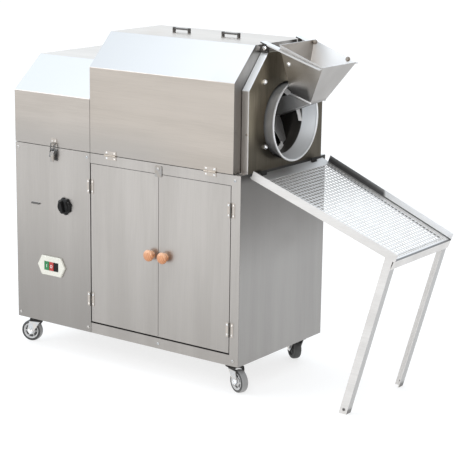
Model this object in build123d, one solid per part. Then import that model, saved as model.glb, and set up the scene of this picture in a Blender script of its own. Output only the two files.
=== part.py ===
from build123d import *
import os
from math import cos, hypot, radians, sin, tan

# An electric drum roaster. All sizes are in millimetres. While it is being built, X runs from the
# cabinet's left end, Y from its front face and Z from the floor.

# Sheet metal and general clearances
SHEET = 1.5
FOLD_RADIUS = 4.0
PANEL_GAP = 1.5
SEAM_GAP = 2.0
RUNNING_FIT = 0.05
MOVING_GAP = 0.4

# Casters
WHEEL_RADIUS = 35.0
WHEEL_WIDTH = 24.0
TYRE_DEPTH = 9.0
TYRE_ROUNDING = 4.0
HUB_DISH = 3.0
HUB_LIP = 3.0
CASTER_TRAIL = 30.0
AXLE_RADIUS = 4.0
KINGPIN_RADIUS = 5.0
FORK_SHEET = 3.0
FORK_SIDE_GAP = 2.0
CROWN_GAP = 6.0
CROWN_RADIUS = 26.0
CHEEK_START = 11.0
AXLE_HEAD = 3.0
RACE_RADIUS = 21.0
RACE_HEIGHT = 9.0
CASTER_PLATE = 72.0
CASTER_PLATE_THICKNESS = 3.0
CASTER_PLATE_ROUNDING = 8.0
KINGPIN_HEAD = 3.0
CASTER_INSET_X = 50.0
CASTER_INSET_Y = 50.0
CASTER_HEADINGS = {"front_left": 196.0, "front_right": -21.0, "rear_right": 147.0, "rear_left": 152.0}

# Cabinet
CABINET_LENGTH = 880.0
CABINET_DEPTH = 450.0
CABINET_HEIGHT = 575.0
PANEL_WIDTH = 311.0
SILL_HEIGHT = 33.0
TOP_RAIL_HEIGHT = 31.0
POST_WIDTH = 32.0
FRAME_FOLD = 25.0
PAN_RIM = 28.0
POST_ANGLE = 25.0
POST_THICKNESS = 3.0
PARTITION_INSET = 4.0

# Doors, their knobs, hinges and turn button
DOOR_FOLD = 18.0
DOOR_GAP = 1.5
DOOR_HINGE_GAP = 2.5
DOOR_FOOT_GAP = 5.0
KNOB_RADIUS = 18.0
KNOB_DEPTH = 25.0
KNOB_STEM_RADIUS = 9.0
KNOB_FOOT_RADIUS = 11.0
KNOB_EDGE = 26.0
KNOB_HEIGHT = 292.0
HINGE_LENGTH = 44.0
HINGE_KNUCKLE = 2.5
HINGE_PIN = 1.2
HINGE_LEAF = 13.0
HINGE_SHEET = 1.2
HINGE_RISE = 2.8
DOOR_HINGE_INSET = 72.0
BUTTON_WIDTH = 26.0
BUTTON_HEIGHT = 34.0
BUTTON_SHEET = 2.0
BUTTON_PIVOT_DROP = 9.0
BUTTON_ROUNDING = 4.0
SCREW_RADIUS = 2.5
SCREW_HEAD_RADIUS = 4.5
SCREW_HEAD_HEIGHT = 2.0
PANEL_SCREW_INSET = 12.0
PANEL_SCREW_RISE = 15.6
POST_SCREW_INSET = 19.0

# Hood over the drum
HOOD_WALL = 265.0
HOOD_HEIGHT = 365.0
HOOD_RIDGE = 101.0
HOOD_END_LAP = 8.0
HOOD_HINGE_INSET = 82.0
HANDLE_LENGTH = 58.0
HANDLE_SPACING = 186.0
HANDLE_RISE = 14.0
HANDLE_RADIUS = 3.0
HANDLE_FOOT_RADIUS = 5.0
HANDLE_FOOT_CAP = 1.0

# Drive cover on the left
COVER_WALL = 167.0
COVER_HEIGHT = 269.0
COVER_RIDGE = 122.0
COVER_HINGE_INSET = 70.0

# Draw latch that holds the drive cover down
LATCH_X = 165.0
LATCH_PLATE_WIDTH = 28.0
LATCH_PLATE_HEIGHT = 36.0
LATCH_TOP_DROP = 4.0
LATCH_EAR_GAP = 21.0
LATCH_EAR_THICKNESS = 2.0
LATCH_PIVOT_DROP = 14.0
LATCH_PIVOT_RISE = 6.0
LATCH_PIN = 1.5
LATCH_ARM = 12.0
LATCH_ARM_RISE = 5.2
LEVER_WIDTH = 14.0
LEVER_LENGTH = 30.0
LEVER_SHEET = 2.0
BAIL_WIRE = 1.25
KEEPER_LIFT = 10.0
KEEPER_WIDTH = 22.0
KEEPER_HEIGHT = 18.0
KEEPER_TAB_WIDTH = 10.0
KEEPER_TAB_REACH = 7.0

# End box on the right
END_DEPTH = 25.0
END_FRONT_INSET = 36.0
END_BACK_INSET = 26.0
END_WALL = 241.0
END_HEIGHT = 343.0
END_RIDGE = 92.0

# Drum, its mouth, flights and shaft
DRUM_AXIS_RISE = 137.0
DRUM_RADIUS = 165.0
DRUM_WALL = 2.5
DRUM_DISC = 4.0
DRUM_FRONT_GAP = 17.0
NECK_RADIUS = 105.0
NECK_WALL = 3.0
NECK_HOLE_GAP = 10.0
MOUTH_RADIUS = 118.5
MOUTH_FLARE = 46.0
MOUTH_PROJECTION = 38.0
MOUTH_BEAD = 3.6
FLIGHT_COUNT = 3
FLIGHT_HEIGHT = 85.0
FLIGHT_SHEET = 2.0
FLIGHT_PIECES = 10
FLIGHT_TURN = -300.0
VANE_HEIGHT = 17.0
VANE_TURN = -70.0
VANE_PIECES = 3
SHAFT_RADIUS = 15.0
SHAFT_FLANGE_RADIUS = 60.0
SHAFT_FLANGE_THICKNESS = 8.0
SHAFT_END = 4.0
SHAFT_HOLE_GAP = 2.0

# Bulkhead, bearing and support rollers that carry the drum
BULKHEAD_SETBACK = 24.0
BULKHEAD_SHEET = 4.0
BULKHEAD_WIDTH = 330.0
BULKHEAD_HEIGHT = 175.0
BULKHEAD_FOOT = 14.0
DRUM_REAR_GAP = 12.0
BEARING_SIZE = 92.0
BEARING_FLANGE = 7.0
BEARING_BOSS_RADIUS = 32.0
BEARING_BOSS = 14.0
SHAFT_SLOT_GAP = 8.0
ROLLER_RADIUS = 21.0
ROLLER_WIDTH = 16.0
ROLLER_ANGLE = 32.0
ROLLER_AXLE_RADIUS = 5.0
ROLLER_COLLAR = 3.0
ROLLER_CHAMFER = 1.5
CAP_NUT_RADIUS = 8.0
CAP_NUT_HEIGHT = 9.0

# Heating trough below the drum
TROUGH_GAP = 35.0
TROUGH_FLANGE = 14.0
INSULATION = 25.0
HEATER_RADIUS = 5.0
HEATER_GAP = 13.0
HEATER_END_GAP = 12.0
HEATER_BRACKET_INSET = 60.0
HEATER_BRACKET_WIDTH = 8.0
HEATER_BRACKET_SHEET = 4.0
HEATER_ANGLES = (-117.0, -99.0, -81.0, -63.0)

# Belt drive and gear motor
PULLEY_RADIUS = 104.0
PULLEY_WIDTH = 22.0
PULLEY_LIP = 6.0
PULLEY_INSET = 16.0
PULLEY_HUB = 14.0
MOTOR_PULLEY_RADIUS = 40.0
MOTOR_AXIS_RISE = 135.0
BELT_WIDTH = 13.0
BELT_DEPTH = 8.0
BELT_SLOT_GAP = 12.0
MOTOR_SHAFT_RADIUS = 10.0
MOTOR_SHAFT_DEPTH = 20.0
MOTOR_SHAFT_END = 3.0
MOTOR_ROUNDING = 12.0
GEARBOX_LENGTH = 92.0
GEARBOX_WIDTH = 120.0
GEARBOX_HEIGHT = 150.0
GEARBOX_GAP = 8.0
GEARBOX_ROUNDING = 14.0
MOTOR_RADIUS = 62.0
MOTOR_LENGTH = 135.0
PLINTH_WIDTH = 150.0

# Controls
THERMOSTAT_X = 207.0
THERMOSTAT_Z = 393.0
DIAL_RADIUS = 27.0
DIAL_SKIRT = 5.0
DIAL_GRIP_RADIUS = 21.0
DIAL_DEPTH = 22.0
DIAL_BAR = 11.0
DIAL_BAR_ROUNDING = 2.0
DIAL_SCALLOPS = 8
DIAL_SCALLOP_RADIUS = 7.0
DIAL_SCALLOP_OFFSET = 4.0
SPINDLE_RADIUS = 3.0
SPINDLE_LENGTH = 26.0
SPINDLE_HOLE_GAP = 2.0
THERMOSTAT_SIZE = 60.0
THERMOSTAT_DEPTH = 42.0
SWITCH_X = 152.0
SWITCH_Z = 190.0
BEZEL_SHIFT = -2.0
BEZEL_LENGTH = 114.0
BEZEL_FLAT = 80.0
BEZEL_HEIGHT = 62.0
BEZEL_THICKNESS = 7.0
BEZEL_CHAMFER = 2.0
WINDOW_LENGTH = 60.0
WINDOW_HEIGHT = 29.0
START_WIDTH = 21.0
STOP_WIDTH = 18.0
KEY_PROUD = 8.0
KEY_DEPTH = 14.0
KEY_TRAVEL = 4.0
KEY_ROUNDING = 1.5
SWITCH_DEPTH = 48.0
SWITCH_WALL = 12.0
INSERT_LAP = 2.0
INSERT_PROUD = 6.5
LOUVRE_X = 84.0
LOUVRE_Z = 384.0
LOUVRE_LENGTH = 34.0
LOUVRE_SLIT = 5.0
LOUVRE_REACH = 5.0
TERMINAL_LENGTH = 110.0
TERMINAL_HEIGHT = 80.0
TERMINAL_DEPTH = 50.0
TERMINAL_X = 40.0
TERMINAL_RISE = 330.0
TERMINAL_ROUNDING = 4.0
GLAND_X = 70.0
GLAND_RISE = 60.0
GLAND_BORE = 7.0
GLAND_RADIUS = 11.0
GLAND_NUT_RADIUS = 14.0
GLAND_REACH = 18.0
GLAND_NUT = 6.0

# Feed hopper, its chute and carrying bars
HOPPER_MOUTH_GAP = 4.0
HOPPER_LEAN = 9.0
HOPPER_REACH = 140.0
HOPPER_TOP_WIDTH = 182.0
HOPPER_THROAT_WIDTH = 76.0
HOPPER_TOP_RISE = 368.0
HOPPER_RIM_DROP = 54.0
HOPPER_DEPTH = 147.0
HOPPER_OUTER_DEPTH = 113.0
HOPPER_THROAT_REACH = 69.0
CHUTE_REACH = 72.0
CHUTE_DROP = 56.0
CHUTE_SIDE = 52.0
BAR_WIDTH = 14.0
BAR_THICKNESS = 4.0
BAR_LAP = 12.0
BAR_RISE = 370.0
BAR_DROP = 62.0
BAR_END_GAP = 4.0

# Discharge tray
TRAY_LENGTH = 497.0
TRAY_WIDTH = 390.0
TRAY_END_WIDTH = 326.0
TRAY_SHIFT = 9.0
TRAY_SLOPE = 21.2
TRAY_ANGLE = 25.0
TRAY_ANGLE_THICKNESS = 3.0
TRAY_EDGE = 7.0
TRAY_FRONT_RAIL_START = -2.0
TRAY_BACK_RAIL_START = 16.0
TRAY_SHEET = 1.5
TRAY_MARGIN = 26.0
TRAY_ROWS = 18
TRAY_COLUMNS = 16
TRAY_BRIDGE = 6.0
HOOK_DROP = 10.0
HOOK_REACH = 11.0
HOOK_WIDTH = 28.0
HOOK_RISE = 12.0
HOOK_SHEET = 3.0
HOOK_SPACING = 268.0
HOOK_SLOT_LENGTH = 6.3
HOOK_SIDE_GAP = 2.0
LEG_ANGLE = 25.0
LEG_THICKNESS = 3.0
LEG_LEAN = 15.5
LEG_SETBACK = 7.0
LEG_HOLE_RADIUS = 3.0
LEG_HOLE_RISE = 14.0

# Places that follow from the sizes above
CASTER_HEIGHT = 2 * WHEEL_RADIUS + CROWN_GAP + FORK_SHEET + RACE_HEIGHT + CASTER_PLATE_THICKNESS
BASE_Z = CASTER_HEIGHT
SEAM_Z = BASE_Z + CABINET_HEIGHT
DECK_Z = SEAM_Z - SHEET
AXIS_Y = CABINET_DEPTH / 2
AXIS_Z = SEAM_Z + DRUM_AXIS_RISE
FRAME_X = PANEL_WIDTH + PANEL_GAP
END_X = CABINET_LENGTH - END_DEPTH
HOOD_X0 = FRAME_X
HOOD_X1 = END_X - PANEL_GAP
HOOD_Z = SEAM_Z + SEAM_GAP
HINGE_Y = -HINGE_RISE
DOOR_X0 = FRAME_X + DOOR_HINGE_GAP
DOOR_X1 = CABINET_LENGTH - POST_WIDTH - DOOR_HINGE_GAP
DOOR_MIDDLE = (DOOR_X0 + DOOR_X1) / 2
DOOR_Z0 = BASE_Z + SILL_HEIGHT + DOOR_FOOT_GAP
DOOR_Z1 = SEAM_Z - TOP_RAIL_HEIGHT - DOOR_GAP
BULKHEAD_X = HOOD_X0 + BULKHEAD_SETBACK
DRUM_X0 = BULKHEAD_X + BULKHEAD_SHEET + DRUM_REAR_GAP
DRUM_X1 = END_X - DRUM_FRONT_GAP
MOUTH_X = CABINET_LENGTH + MOUTH_PROJECTION
TROUGH_RADIUS = DRUM_RADIUS + TROUGH_GAP
PULLEY_X1 = PANEL_WIDTH - PULLEY_INSET
PULLEY_X0 = PULLEY_X1 - PULLEY_WIDTH
BELT_X0 = (PULLEY_X0 + PULLEY_X1 - BELT_WIDTH) / 2
MOTOR_Z = BASE_Z + MOTOR_AXIS_RISE
TRAY_Y = AXIS_Y + TRAY_SHIFT
HOOK_X = CABINET_LENGTH + HOOK_REACH
HOOK_Z = SEAM_Z - HOOK_DROP
HOPPER_X = MOUTH_X + HOPPER_MOUTH_GAP
HOPPER_Z = SEAM_Z + HOPPER_TOP_RISE
FORK_HALF_GAP = WHEEL_WIDTH / 2 + FORK_SIDE_GAP


def block(x0, x1, y0, y1, z0, z1):
    """A box between two corners."""
    return Pos((x0 + x1) / 2, (y0 + y1) / 2, (z0 + z1) / 2) * Box(x1 - x0, y1 - y0, z1 - z0)


def rod_x(x0, x1, y, z, radius):
    """A round bar along X."""
    return Pos((x0 + x1) / 2, y, z) * Rot(0, 90, 0) * Cylinder(radius, x1 - x0)


def rod_y(y0, y1, x, z, radius):
    """A round bar along Y."""
    return Pos(x, (y0 + y1) / 2, z) * Rot(90, 0, 0) * Cylinder(radius, y1 - y0)


def rod_z(z0, z1, x, y, radius):
    """A round bar along Z."""
    return Pos(x, y, (z0 + z1) / 2) * Cylinder(radius, z1 - z0)


def prism_x(points, x0, x1):
    """A (y, z) outline carried from x0 to x1."""
    return extrude(Plane.YZ.offset(x0) * Polygon(*points, align=None), x1 - x0, dir=(1, 0, 0))


def prism_y(points, y0, y1):
    """An (x, z) outline carried from y0 to y1."""
    return extrude(Plane.XZ.offset(-y0) * Polygon(*points, align=None), y1 - y0, dir=(0, 1, 0))


def turned(points, y, z):
    """An (x, radius) outline turned about an X axis at y, z."""
    return Pos(0, y, z) * revolve(Polygon(*points, align=None), Axis.X)


def group(pieces):
    """Separate solids that share one node."""
    return Compound([solid for piece in pieces for solid in piece.solids()])


# Cabinet


def base_pan():
    """Floor pan with an upturned rim."""
    outer = block(SHEET, CABINET_LENGTH - SHEET, SHEET, CABINET_DEPTH - SHEET, BASE_Z, BASE_Z + PAN_RIM)
    inner = block(2 * SHEET, CABINET_LENGTH - 2 * SHEET, 2 * SHEET, CABINET_DEPTH - 2 * SHEET,
                  BASE_Z + SHEET, BASE_Z + PAN_RIM + SHEET)
    return outer - inner


def corner_posts():
    """Four angle posts between the pan and the deck, just inside the pan's rim."""
    inset = 2 * SHEET
    lower, upper = BASE_Z + SHEET, DECK_Z
    post = block(0, POST_ANGLE, 0, POST_ANGLE, lower, upper)
    post -= block(POST_THICKNESS, POST_ANGLE + 1, POST_THICKNESS, POST_ANGLE + 1, lower, upper)
    posts = []
    right, back = CABINET_LENGTH - inset, CABINET_DEPTH - inset
    for x, y, turn in ((inset, inset, 0), (right, inset, 90), (right, back, 180), (inset, back, 270)):
        posts.append(Pos(x, y, 0) * Rot(0, 0, turn) * post)
    return group(posts)


def control_panel():
    """Front panel of the drive side, with holes for the dial and the switch and a pressed louvre."""
    panel = block(0, PANEL_WIDTH, 0, SHEET, BASE_Z, SEAM_Z)
    panel -= rod_y(-1, SHEET + 1, THERMOSTAT_X, BASE_Z + THERMOSTAT_Z, SPINDLE_RADIUS + SPINDLE_HOLE_GAP)
    window_z = BASE_Z + SWITCH_Z
    panel -= block(SWITCH_X - WINDOW_LENGTH / 2, SWITCH_X + WINDOW_LENGTH / 2, -1, SHEET + 1,
                   window_z - WINDOW_HEIGHT / 2, window_z + WINDOW_HEIGHT / 2)
    slit_z = BASE_Z + LOUVRE_Z
    x0, x1 = LOUVRE_X - LOUVRE_LENGTH / 2, LOUVRE_X + LOUVRE_LENGTH / 2
    panel -= block(x0, x1, -1, SHEET + 1, slit_z, slit_z + LOUVRE_SLIT)
    lip = [(0, slit_z + LOUVRE_SLIT), (-LOUVRE_REACH, slit_z), (-LOUVRE_REACH, slit_z + SHEET),
           (0, slit_z + LOUVRE_SLIT + SHEET)]
    return panel + prism_x(lip, x0, x1)


def front_frame():
    """Sill, right post and top rail round the door opening, folded inwards at the opening."""
    x1, z1 = CABINET_LENGTH, SEAM_Z
    open_x = CABINET_LENGTH - POST_WIDTH
    low, high = BASE_Z + SILL_HEIGHT, SEAM_Z - TOP_RAIL_HEIGHT
    frame = block(FRAME_X, x1, 0, SHEET, BASE_Z, z1)
    frame -= block(FRAME_X - 1, open_x, -1, SHEET + 1, low, high)
    fold_x = FRAME_X + FRAME_FOLD
    frame += block(fold_x, open_x, SHEET, FRAME_FOLD, low - SHEET, low)
    frame += block(fold_x, open_x, SHEET, FRAME_FOLD, high, high + SHEET)
    frame += block(open_x, open_x + SHEET, SHEET, FRAME_FOLD, low - SHEET, high + SHEET)
    return frame


def left_side_panel():
    return block(0, SHEET, SHEET, CABINET_DEPTH - SHEET, BASE_Z, SEAM_Z)


def right_side_panel():
    """Right end panel with two hooks for the tray."""
    panel = block(CABINET_LENGTH - SHEET, CABINET_LENGTH, SHEET, CABINET_DEPTH - SHEET, BASE_Z, SEAM_Z)
    for side in (-1, 1):
        y = TRAY_Y + side * HOOK_SPACING / 2
        y0, y1 = y - HOOK_WIDTH / 2, y + HOOK_WIDTH / 2
        root_z = HOOK_Z - HOOK_RISE
        panel += block(CABINET_LENGTH, HOOK_X + HOOK_SHEET / 2, y0, y1, root_z, root_z + HOOK_SHEET)
        panel += block(HOOK_X - HOOK_SHEET / 2, HOOK_X + HOOK_SHEET / 2, y0, y1, root_z, HOOK_Z + HOOK_RISE)
    return panel


def back_panel():
    """Back panel with the hole of the cable gland."""
    panel = block(0, CABINET_LENGTH, CABINET_DEPTH - SHEET, CABINET_DEPTH, BASE_Z, SEAM_Z)
    hole = rod_y(CABINET_DEPTH - SHEET - 1, CABINET_DEPTH + 1, GLAND_X, BASE_Z + GLAND_RISE, GLAND_RADIUS)
    return panel - hole


def trough_half_width(radius):
    """Half of the width that a cylinder about the drum's axis has at the seam."""
    return (radius ** 2 - DRUM_AXIS_RISE ** 2) ** 0.5


def deck_plate():
    """Plate on top of the cabinet, open for the trough and for the belt."""
    deck = block(SHEET, CABINET_LENGTH - SHEET, SHEET, CABINET_DEPTH - SHEET, DECK_Z, SEAM_Z)
    half = trough_half_width(TROUGH_RADIUS + SHEET + INSULATION)
    deck -= block(BULKHEAD_X + BULKHEAD_SHEET, END_X, AXIS_Y - half, AXIS_Y + half, DECK_Z - 1, SEAM_Z + 1)
    slot = PULLEY_RADIUS + BELT_SLOT_GAP
    deck -= block(PULLEY_X0 - BELT_SLOT_GAP, PULLEY_X1 + BELT_SLOT_GAP / 2, AXIS_Y - slot, AXIS_Y + slot,
                  DECK_Z - 1, SEAM_Z + 1)
    return deck


def partition_wall():
    """Wall between the drive side and the storage side."""
    x = PANEL_WIDTH - PARTITION_INSET
    inset = 2 * SHEET
    return block(x - SHEET, x, inset, CABINET_DEPTH - inset, BASE_Z + SHEET, DECK_Z)


# Doors, knobs, hinges


def hinge_half(moving):
    """Half of a butt hinge: its pin lies on Z, and the plate under it is HINGE_RISE towards +Y.
    The fixed half carries the pin and goes to +X, the moving half goes to -X."""
    third = HINGE_LENGTH / 3
    side = -1 if moving else 1
    bands = [(-third / 2, third / 2)] if moving else [(-1.5 * third, -third / 2), (third / 2, 1.5 * third)]
    leaf_start = HINGE_KNUCKLE + MOVING_GAP
    low, high = sorted((side * leaf_start, side * HINGE_LEAF))
    half = block(low, high, HINGE_RISE - HINGE_SHEET, HINGE_RISE, -1.5 * third, 1.5 * third)
    for band_low, band_high in bands:
        z0 = band_low + MOVING_GAP / 2
        z1 = band_high - MOVING_GAP / 2
        half += rod_z(z0, z1, 0, 0, HINGE_KNUCKLE)
        near, far = sorted((0, side * (leaf_start + 1)))
        half += block(near, far, HINGE_RISE - HINGE_SHEET, HINGE_KNUCKLE, z0, z1)
    if moving:
        return half - rod_z(-third, third, 0, 0, HINGE_PIN + RUNNING_FIT)
    return half + rod_z(-1.5 * third + MOVING_GAP / 2, 1.5 * third - MOVING_GAP / 2, 0, 0, HINGE_PIN)


def door_hinge_heights():
    return (DOOR_Z0 + DOOR_HINGE_INSET, DOOR_Z1 - DOOR_HINGE_INSET)


def left_door_hinge(z):
    return Pos(FRAME_X, HINGE_Y, z) * Rot(0, 180, 0)


def right_door_hinge(z):
    return Pos(CABINET_LENGTH - POST_WIDTH, HINGE_Y, z)


def hood_hinge(x):
    return Pos(x, HINGE_Y, SEAM_Z + SEAM_GAP / 2) * Rot(0, 90, 0)


def cover_hinge(x):
    return Pos(x, CABINET_DEPTH - HINGE_Y, SEAM_Z + SEAM_GAP / 2) * Rot(0, 0, 180) * Rot(0, 90, 0)


def hood_hinge_places():
    return (HOOD_X0 + HOOD_HINGE_INSET, HOOD_X1 - HOOD_HINGE_INSET)


def cover_hinge_places():
    return (COVER_HINGE_INSET, PANEL_WIDTH - COVER_HINGE_INSET)


def fixed_hinge_leaves():
    """Fixed leaves, with the pins, of the doors, the hood and the drive cover."""
    leaf = hinge_half(moving=False)
    leaves = [place(z) * leaf for z in door_hinge_heights() for place in (left_door_hinge, right_door_hinge)]
    leaves += [hood_hinge(x) * leaf for x in hood_hinge_places()]
    leaves += [cover_hinge(x) * leaf for x in cover_hinge_places()]
    return group(leaves)


def door(x0, x1, hinge):
    """A door pan with folded edges and its two hinge leaves."""
    pan = block(x0, x1, 0, DOOR_FOLD, DOOR_Z0, DOOR_Z1)
    pan -= block(x0 + SHEET, x1 - SHEET, SHEET, DOOR_FOLD + 1, DOOR_Z0 + SHEET, DOOR_Z1 - SHEET)
    return group([pan] + [hinge(z) * hinge_half(moving=True) for z in door_hinge_heights()])


def left_door():
    return door(DOOR_X0, DOOR_MIDDLE - DOOR_GAP / 2, left_door_hinge)


def right_door():
    return door(DOOR_MIDDLE + DOOR_GAP / 2, DOOR_X1, right_door_hinge)


def door_knob(x):
    """A turned wooden knob standing on the door's face."""
    outline = [(0, 0), (KNOB_FOOT_RADIUS, 0), (KNOB_STEM_RADIUS, 0.35 * KNOB_DEPTH),
               (KNOB_RADIUS, 0.55 * KNOB_DEPTH), (KNOB_RADIUS, 0.75 * KNOB_DEPTH),
               (0.6 * KNOB_RADIUS, KNOB_DEPTH), (0, KNOB_DEPTH)]
    knob = revolve(Plane.XZ * Polygon(*outline, align=None), Axis.Z)
    return Pos(x, 0, BASE_Z + KNOB_HEIGHT) * Rot(90, 0, 0) * knob


def left_knob():
    return door_knob(DOOR_MIDDLE - KNOB_EDGE)


def right_knob():
    return door_knob(DOOR_MIDDLE + KNOB_EDGE)


def turn_button():
    """Plate that turns on one screw and laps the top of both doors."""
    pivot_z = SEAM_Z - TOP_RAIL_HEIGHT / 2
    top = pivot_z + BUTTON_PIVOT_DROP
    plate = block(DOOR_MIDDLE - BUTTON_WIDTH / 2, DOOR_MIDDLE + BUTTON_WIDTH / 2,
                  -MOVING_GAP - BUTTON_SHEET, -MOVING_GAP, top - BUTTON_HEIGHT, top)
    plate = fillet(plate.edges().filter_by(Axis.Y), BUTTON_ROUNDING)
    return plate - rod_y(-2 * BUTTON_SHEET, 0, DOOR_MIDDLE, pivot_z, SCREW_RADIUS + RUNNING_FIT)


def screw_head(x, z, y=0.0):
    """A domed screw head standing on a front face at y."""
    head = rod_y(y - SCREW_HEAD_HEIGHT, y, x, z, SCREW_HEAD_RADIUS)
    return fillet(head.edges().sort_by(Axis.Y)[0], 0.8 * SCREW_HEAD_HEIGHT)


def cabinet_screws():
    """Screws of the control panel and the front frame, and the turn button's pivot screw."""
    inset = PANEL_SCREW_INSET
    low, high = BASE_Z + PANEL_SCREW_RISE, SEAM_Z - PANEL_SCREW_RISE
    post_x = CABINET_LENGTH - POST_SCREW_INSET
    spots = [(inset, low), (inset, high), (PANEL_WIDTH - inset, low), (PANEL_WIDTH - inset, high),
             (DOOR_MIDDLE, low), (post_x, low), (post_x, high)]
    screws = [screw_head(x, z) for x, z in spots]
    pivot_z = SEAM_Z - TOP_RAIL_HEIGHT / 2
    button_face = -2 * MOVING_GAP - BUTTON_SHEET
    pivot = rod_y(button_face - 1, 0, DOOR_MIDDLE, pivot_z, SCREW_RADIUS)
    screws.append(pivot + screw_head(DOOR_MIDDLE, pivot_z, button_face))
    return group(screws)


# Hood and drive cover


def rounded_outline(points):
    """A cover's (y, z) outline with rounded folds and square lower corners."""
    outline = Polygon(*points, align=None)
    bottom = min(z for _, z in points)
    return fillet(outline.vertices().filter_by(lambda corner: corner.Y > bottom + SHEET), FOLD_RADIUS)


def plate_outline(points):
    """The outline that fits inside a folded cover, down to its lower edge."""
    bottom = min(z for _, z in points)
    deeper = [(y, z - SHEET if z == bottom else z) for y, z in points]
    return offset(rounded_outline(deeper), -SHEET, kind=Kind.INTERSECTION)


def folded_cover(points, x0, x1):
    """A sheet folded along X, open underneath and at both ends."""
    section = rounded_outline(points) - plate_outline(points)
    return extrude(Plane.YZ.offset(x0) * section, x1 - x0, dir=(1, 0, 0))


def end_plate(points, x):
    """A plate welded into the end of a folded cover."""
    return extrude(Plane.YZ.offset(x) * plate_outline(points), SHEET, dir=(1, 0, 0))


def end_outline(inset):
    """The end box's outline, drawn in by inset at its sides and top."""
    y0, y1 = END_FRONT_INSET + inset, CABINET_DEPTH - END_BACK_INSET - inset
    wall, top = SEAM_Z + END_WALL - inset / 2, SEAM_Z + END_HEIGHT - inset
    ridge = END_RIDGE
    return [(y0, SEAM_Z), (y0, wall), (y0 + ridge, top), (y1 - ridge, top), (y1, wall), (y1, SEAM_Z)]


def roasting_hood():
    """Hood over the drum: the folded sheet, a right end flange round the end box and a left end plate
    that is slotted for the shaft."""
    wall, top = SEAM_Z + HOOD_WALL, SEAM_Z + HOOD_HEIGHT
    back, ridge = CABINET_DEPTH, HOOD_RIDGE
    points = [(0, HOOD_Z), (0, wall), (ridge, top), (back - ridge, top), (back, wall), (back, HOOD_Z)]
    sheet = folded_cover(points, HOOD_X0, HOOD_X1)
    flange = end_plate(points, HOOD_X1 - SHEET)
    flange -= prism_x(end_outline(HOOD_END_LAP), HOOD_X1 - 2 * SHEET, HOOD_X1 + SHEET)
    swing = hypot(AXIS_Y - HINGE_Y, DRUM_AXIS_RISE)
    half = SHAFT_RADIUS + SHAFT_SLOT_GAP
    x0, x1 = HOOD_X0 - SHEET, HOOD_X0 + 2 * SHEET
    ring = rod_x(x0, x1, HINGE_Y, SEAM_Z, swing + half) - rod_x(x0, x1, HINGE_Y, SEAM_Z, swing - half)
    slot = ring & block(x0, x1, AXIS_Y / 2, CABINET_DEPTH, SEAM_Z - SHEET, AXIS_Z)
    plate = end_plate(points, HOOD_X0) - slot - rod_x(x0, x1, AXIS_Y, AXIS_Z, half)
    return group([sheet, flange, plate])


def handle(x):
    """A low handle on the hood's flat top: a straight grip on two feet."""
    top = SEAM_Z + HOOD_HEIGHT
    grip_z = top + HANDLE_RISE - HANDLE_FOOT_CAP - HANDLE_RADIUS
    x0, x1 = x - HANDLE_LENGTH / 2, x + HANDLE_LENGTH / 2
    grip = rod_x(x0, x1, AXIS_Y, grip_z, HANDLE_RADIUS)
    for foot_x in (x0, x1):
        grip += rod_z(top, top + HANDLE_RISE, foot_x, AXIS_Y, HANDLE_FOOT_RADIUS)
    return grip


def hood_fittings():
    """Two handles on top and the moving leaves of the two front hinges."""
    middle = (HOOD_X0 + HOOD_X1) / 2
    handles = [handle(middle + side * HANDLE_SPACING / 2) for side in (-1, 1)]
    return group(handles + [hood_hinge(x) * hinge_half(moving=True) for x in hood_hinge_places()])


def drive_cover():
    """Cover over the belt drive: a flat-topped folded sheet with a left end plate, open towards the hood."""
    wall, top = SEAM_Z + COVER_WALL, SEAM_Z + COVER_HEIGHT
    points = [(0, HOOD_Z), (0, wall), (COVER_RIDGE, top), (CABINET_DEPTH, top), (CABINET_DEPTH, HOOD_Z)]
    return group([folded_cover(points, 0, PANEL_WIDTH), end_plate(points, 0)])


def keeper_tab_top():
    return SEAM_Z + KEEPER_LIFT + LATCH_EAR_THICKNESS


def cover_fittings():
    """The draw latch's keeper on the front and the moving leaves of the two rear hinges."""
    z0 = SEAM_Z + KEEPER_LIFT
    keeper = block(LATCH_X - KEEPER_WIDTH / 2, LATCH_X + KEEPER_WIDTH / 2, -SHEET, 0, z0, z0 + KEEPER_HEIGHT)
    keeper += block(LATCH_X - KEEPER_TAB_WIDTH / 2, LATCH_X + KEEPER_TAB_WIDTH / 2, -KEEPER_TAB_REACH, 0,
                    z0, keeper_tab_top())
    return group([keeper] + [cover_hinge(x) * hinge_half(moving=True) for x in cover_hinge_places()])


# Draw latch


def latch_pivot():
    """The lever's pivot as (y, z)."""
    return -LATCH_PIVOT_RISE, SEAM_Z - LATCH_PIVOT_DROP


def bail_pivot():
    """The bail's pivot on the lever as (y, z)."""
    pin_y, pin_z = latch_pivot()
    return pin_y - LATCH_ARM_RISE, pin_z - LATCH_ARM


def latch_base():
    """Plate on the control panel with two ears and the lever's pin."""
    top = SEAM_Z - LATCH_TOP_DROP
    half = LATCH_PLATE_WIDTH / 2
    base = block(LATCH_X - half, LATCH_X + half, -SHEET, 0, top - LATCH_PLATE_HEIGHT, top)
    pin_y, pin_z = latch_pivot()
    inner = LATCH_EAR_GAP / 2
    outer = inner + LATCH_EAR_THICKNESS
    margin = 2 * LATCH_PIN
    for side in (-1, 1):
        x0, x1 = sorted((LATCH_X + side * inner, LATCH_X + side * outer))
        base += block(x0, x1, pin_y - margin, -SHEET, pin_z - margin, pin_z + margin)
    return base + rod_x(LATCH_X - outer, LATCH_X + outer, pin_y, pin_z, LATCH_PIN)


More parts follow.
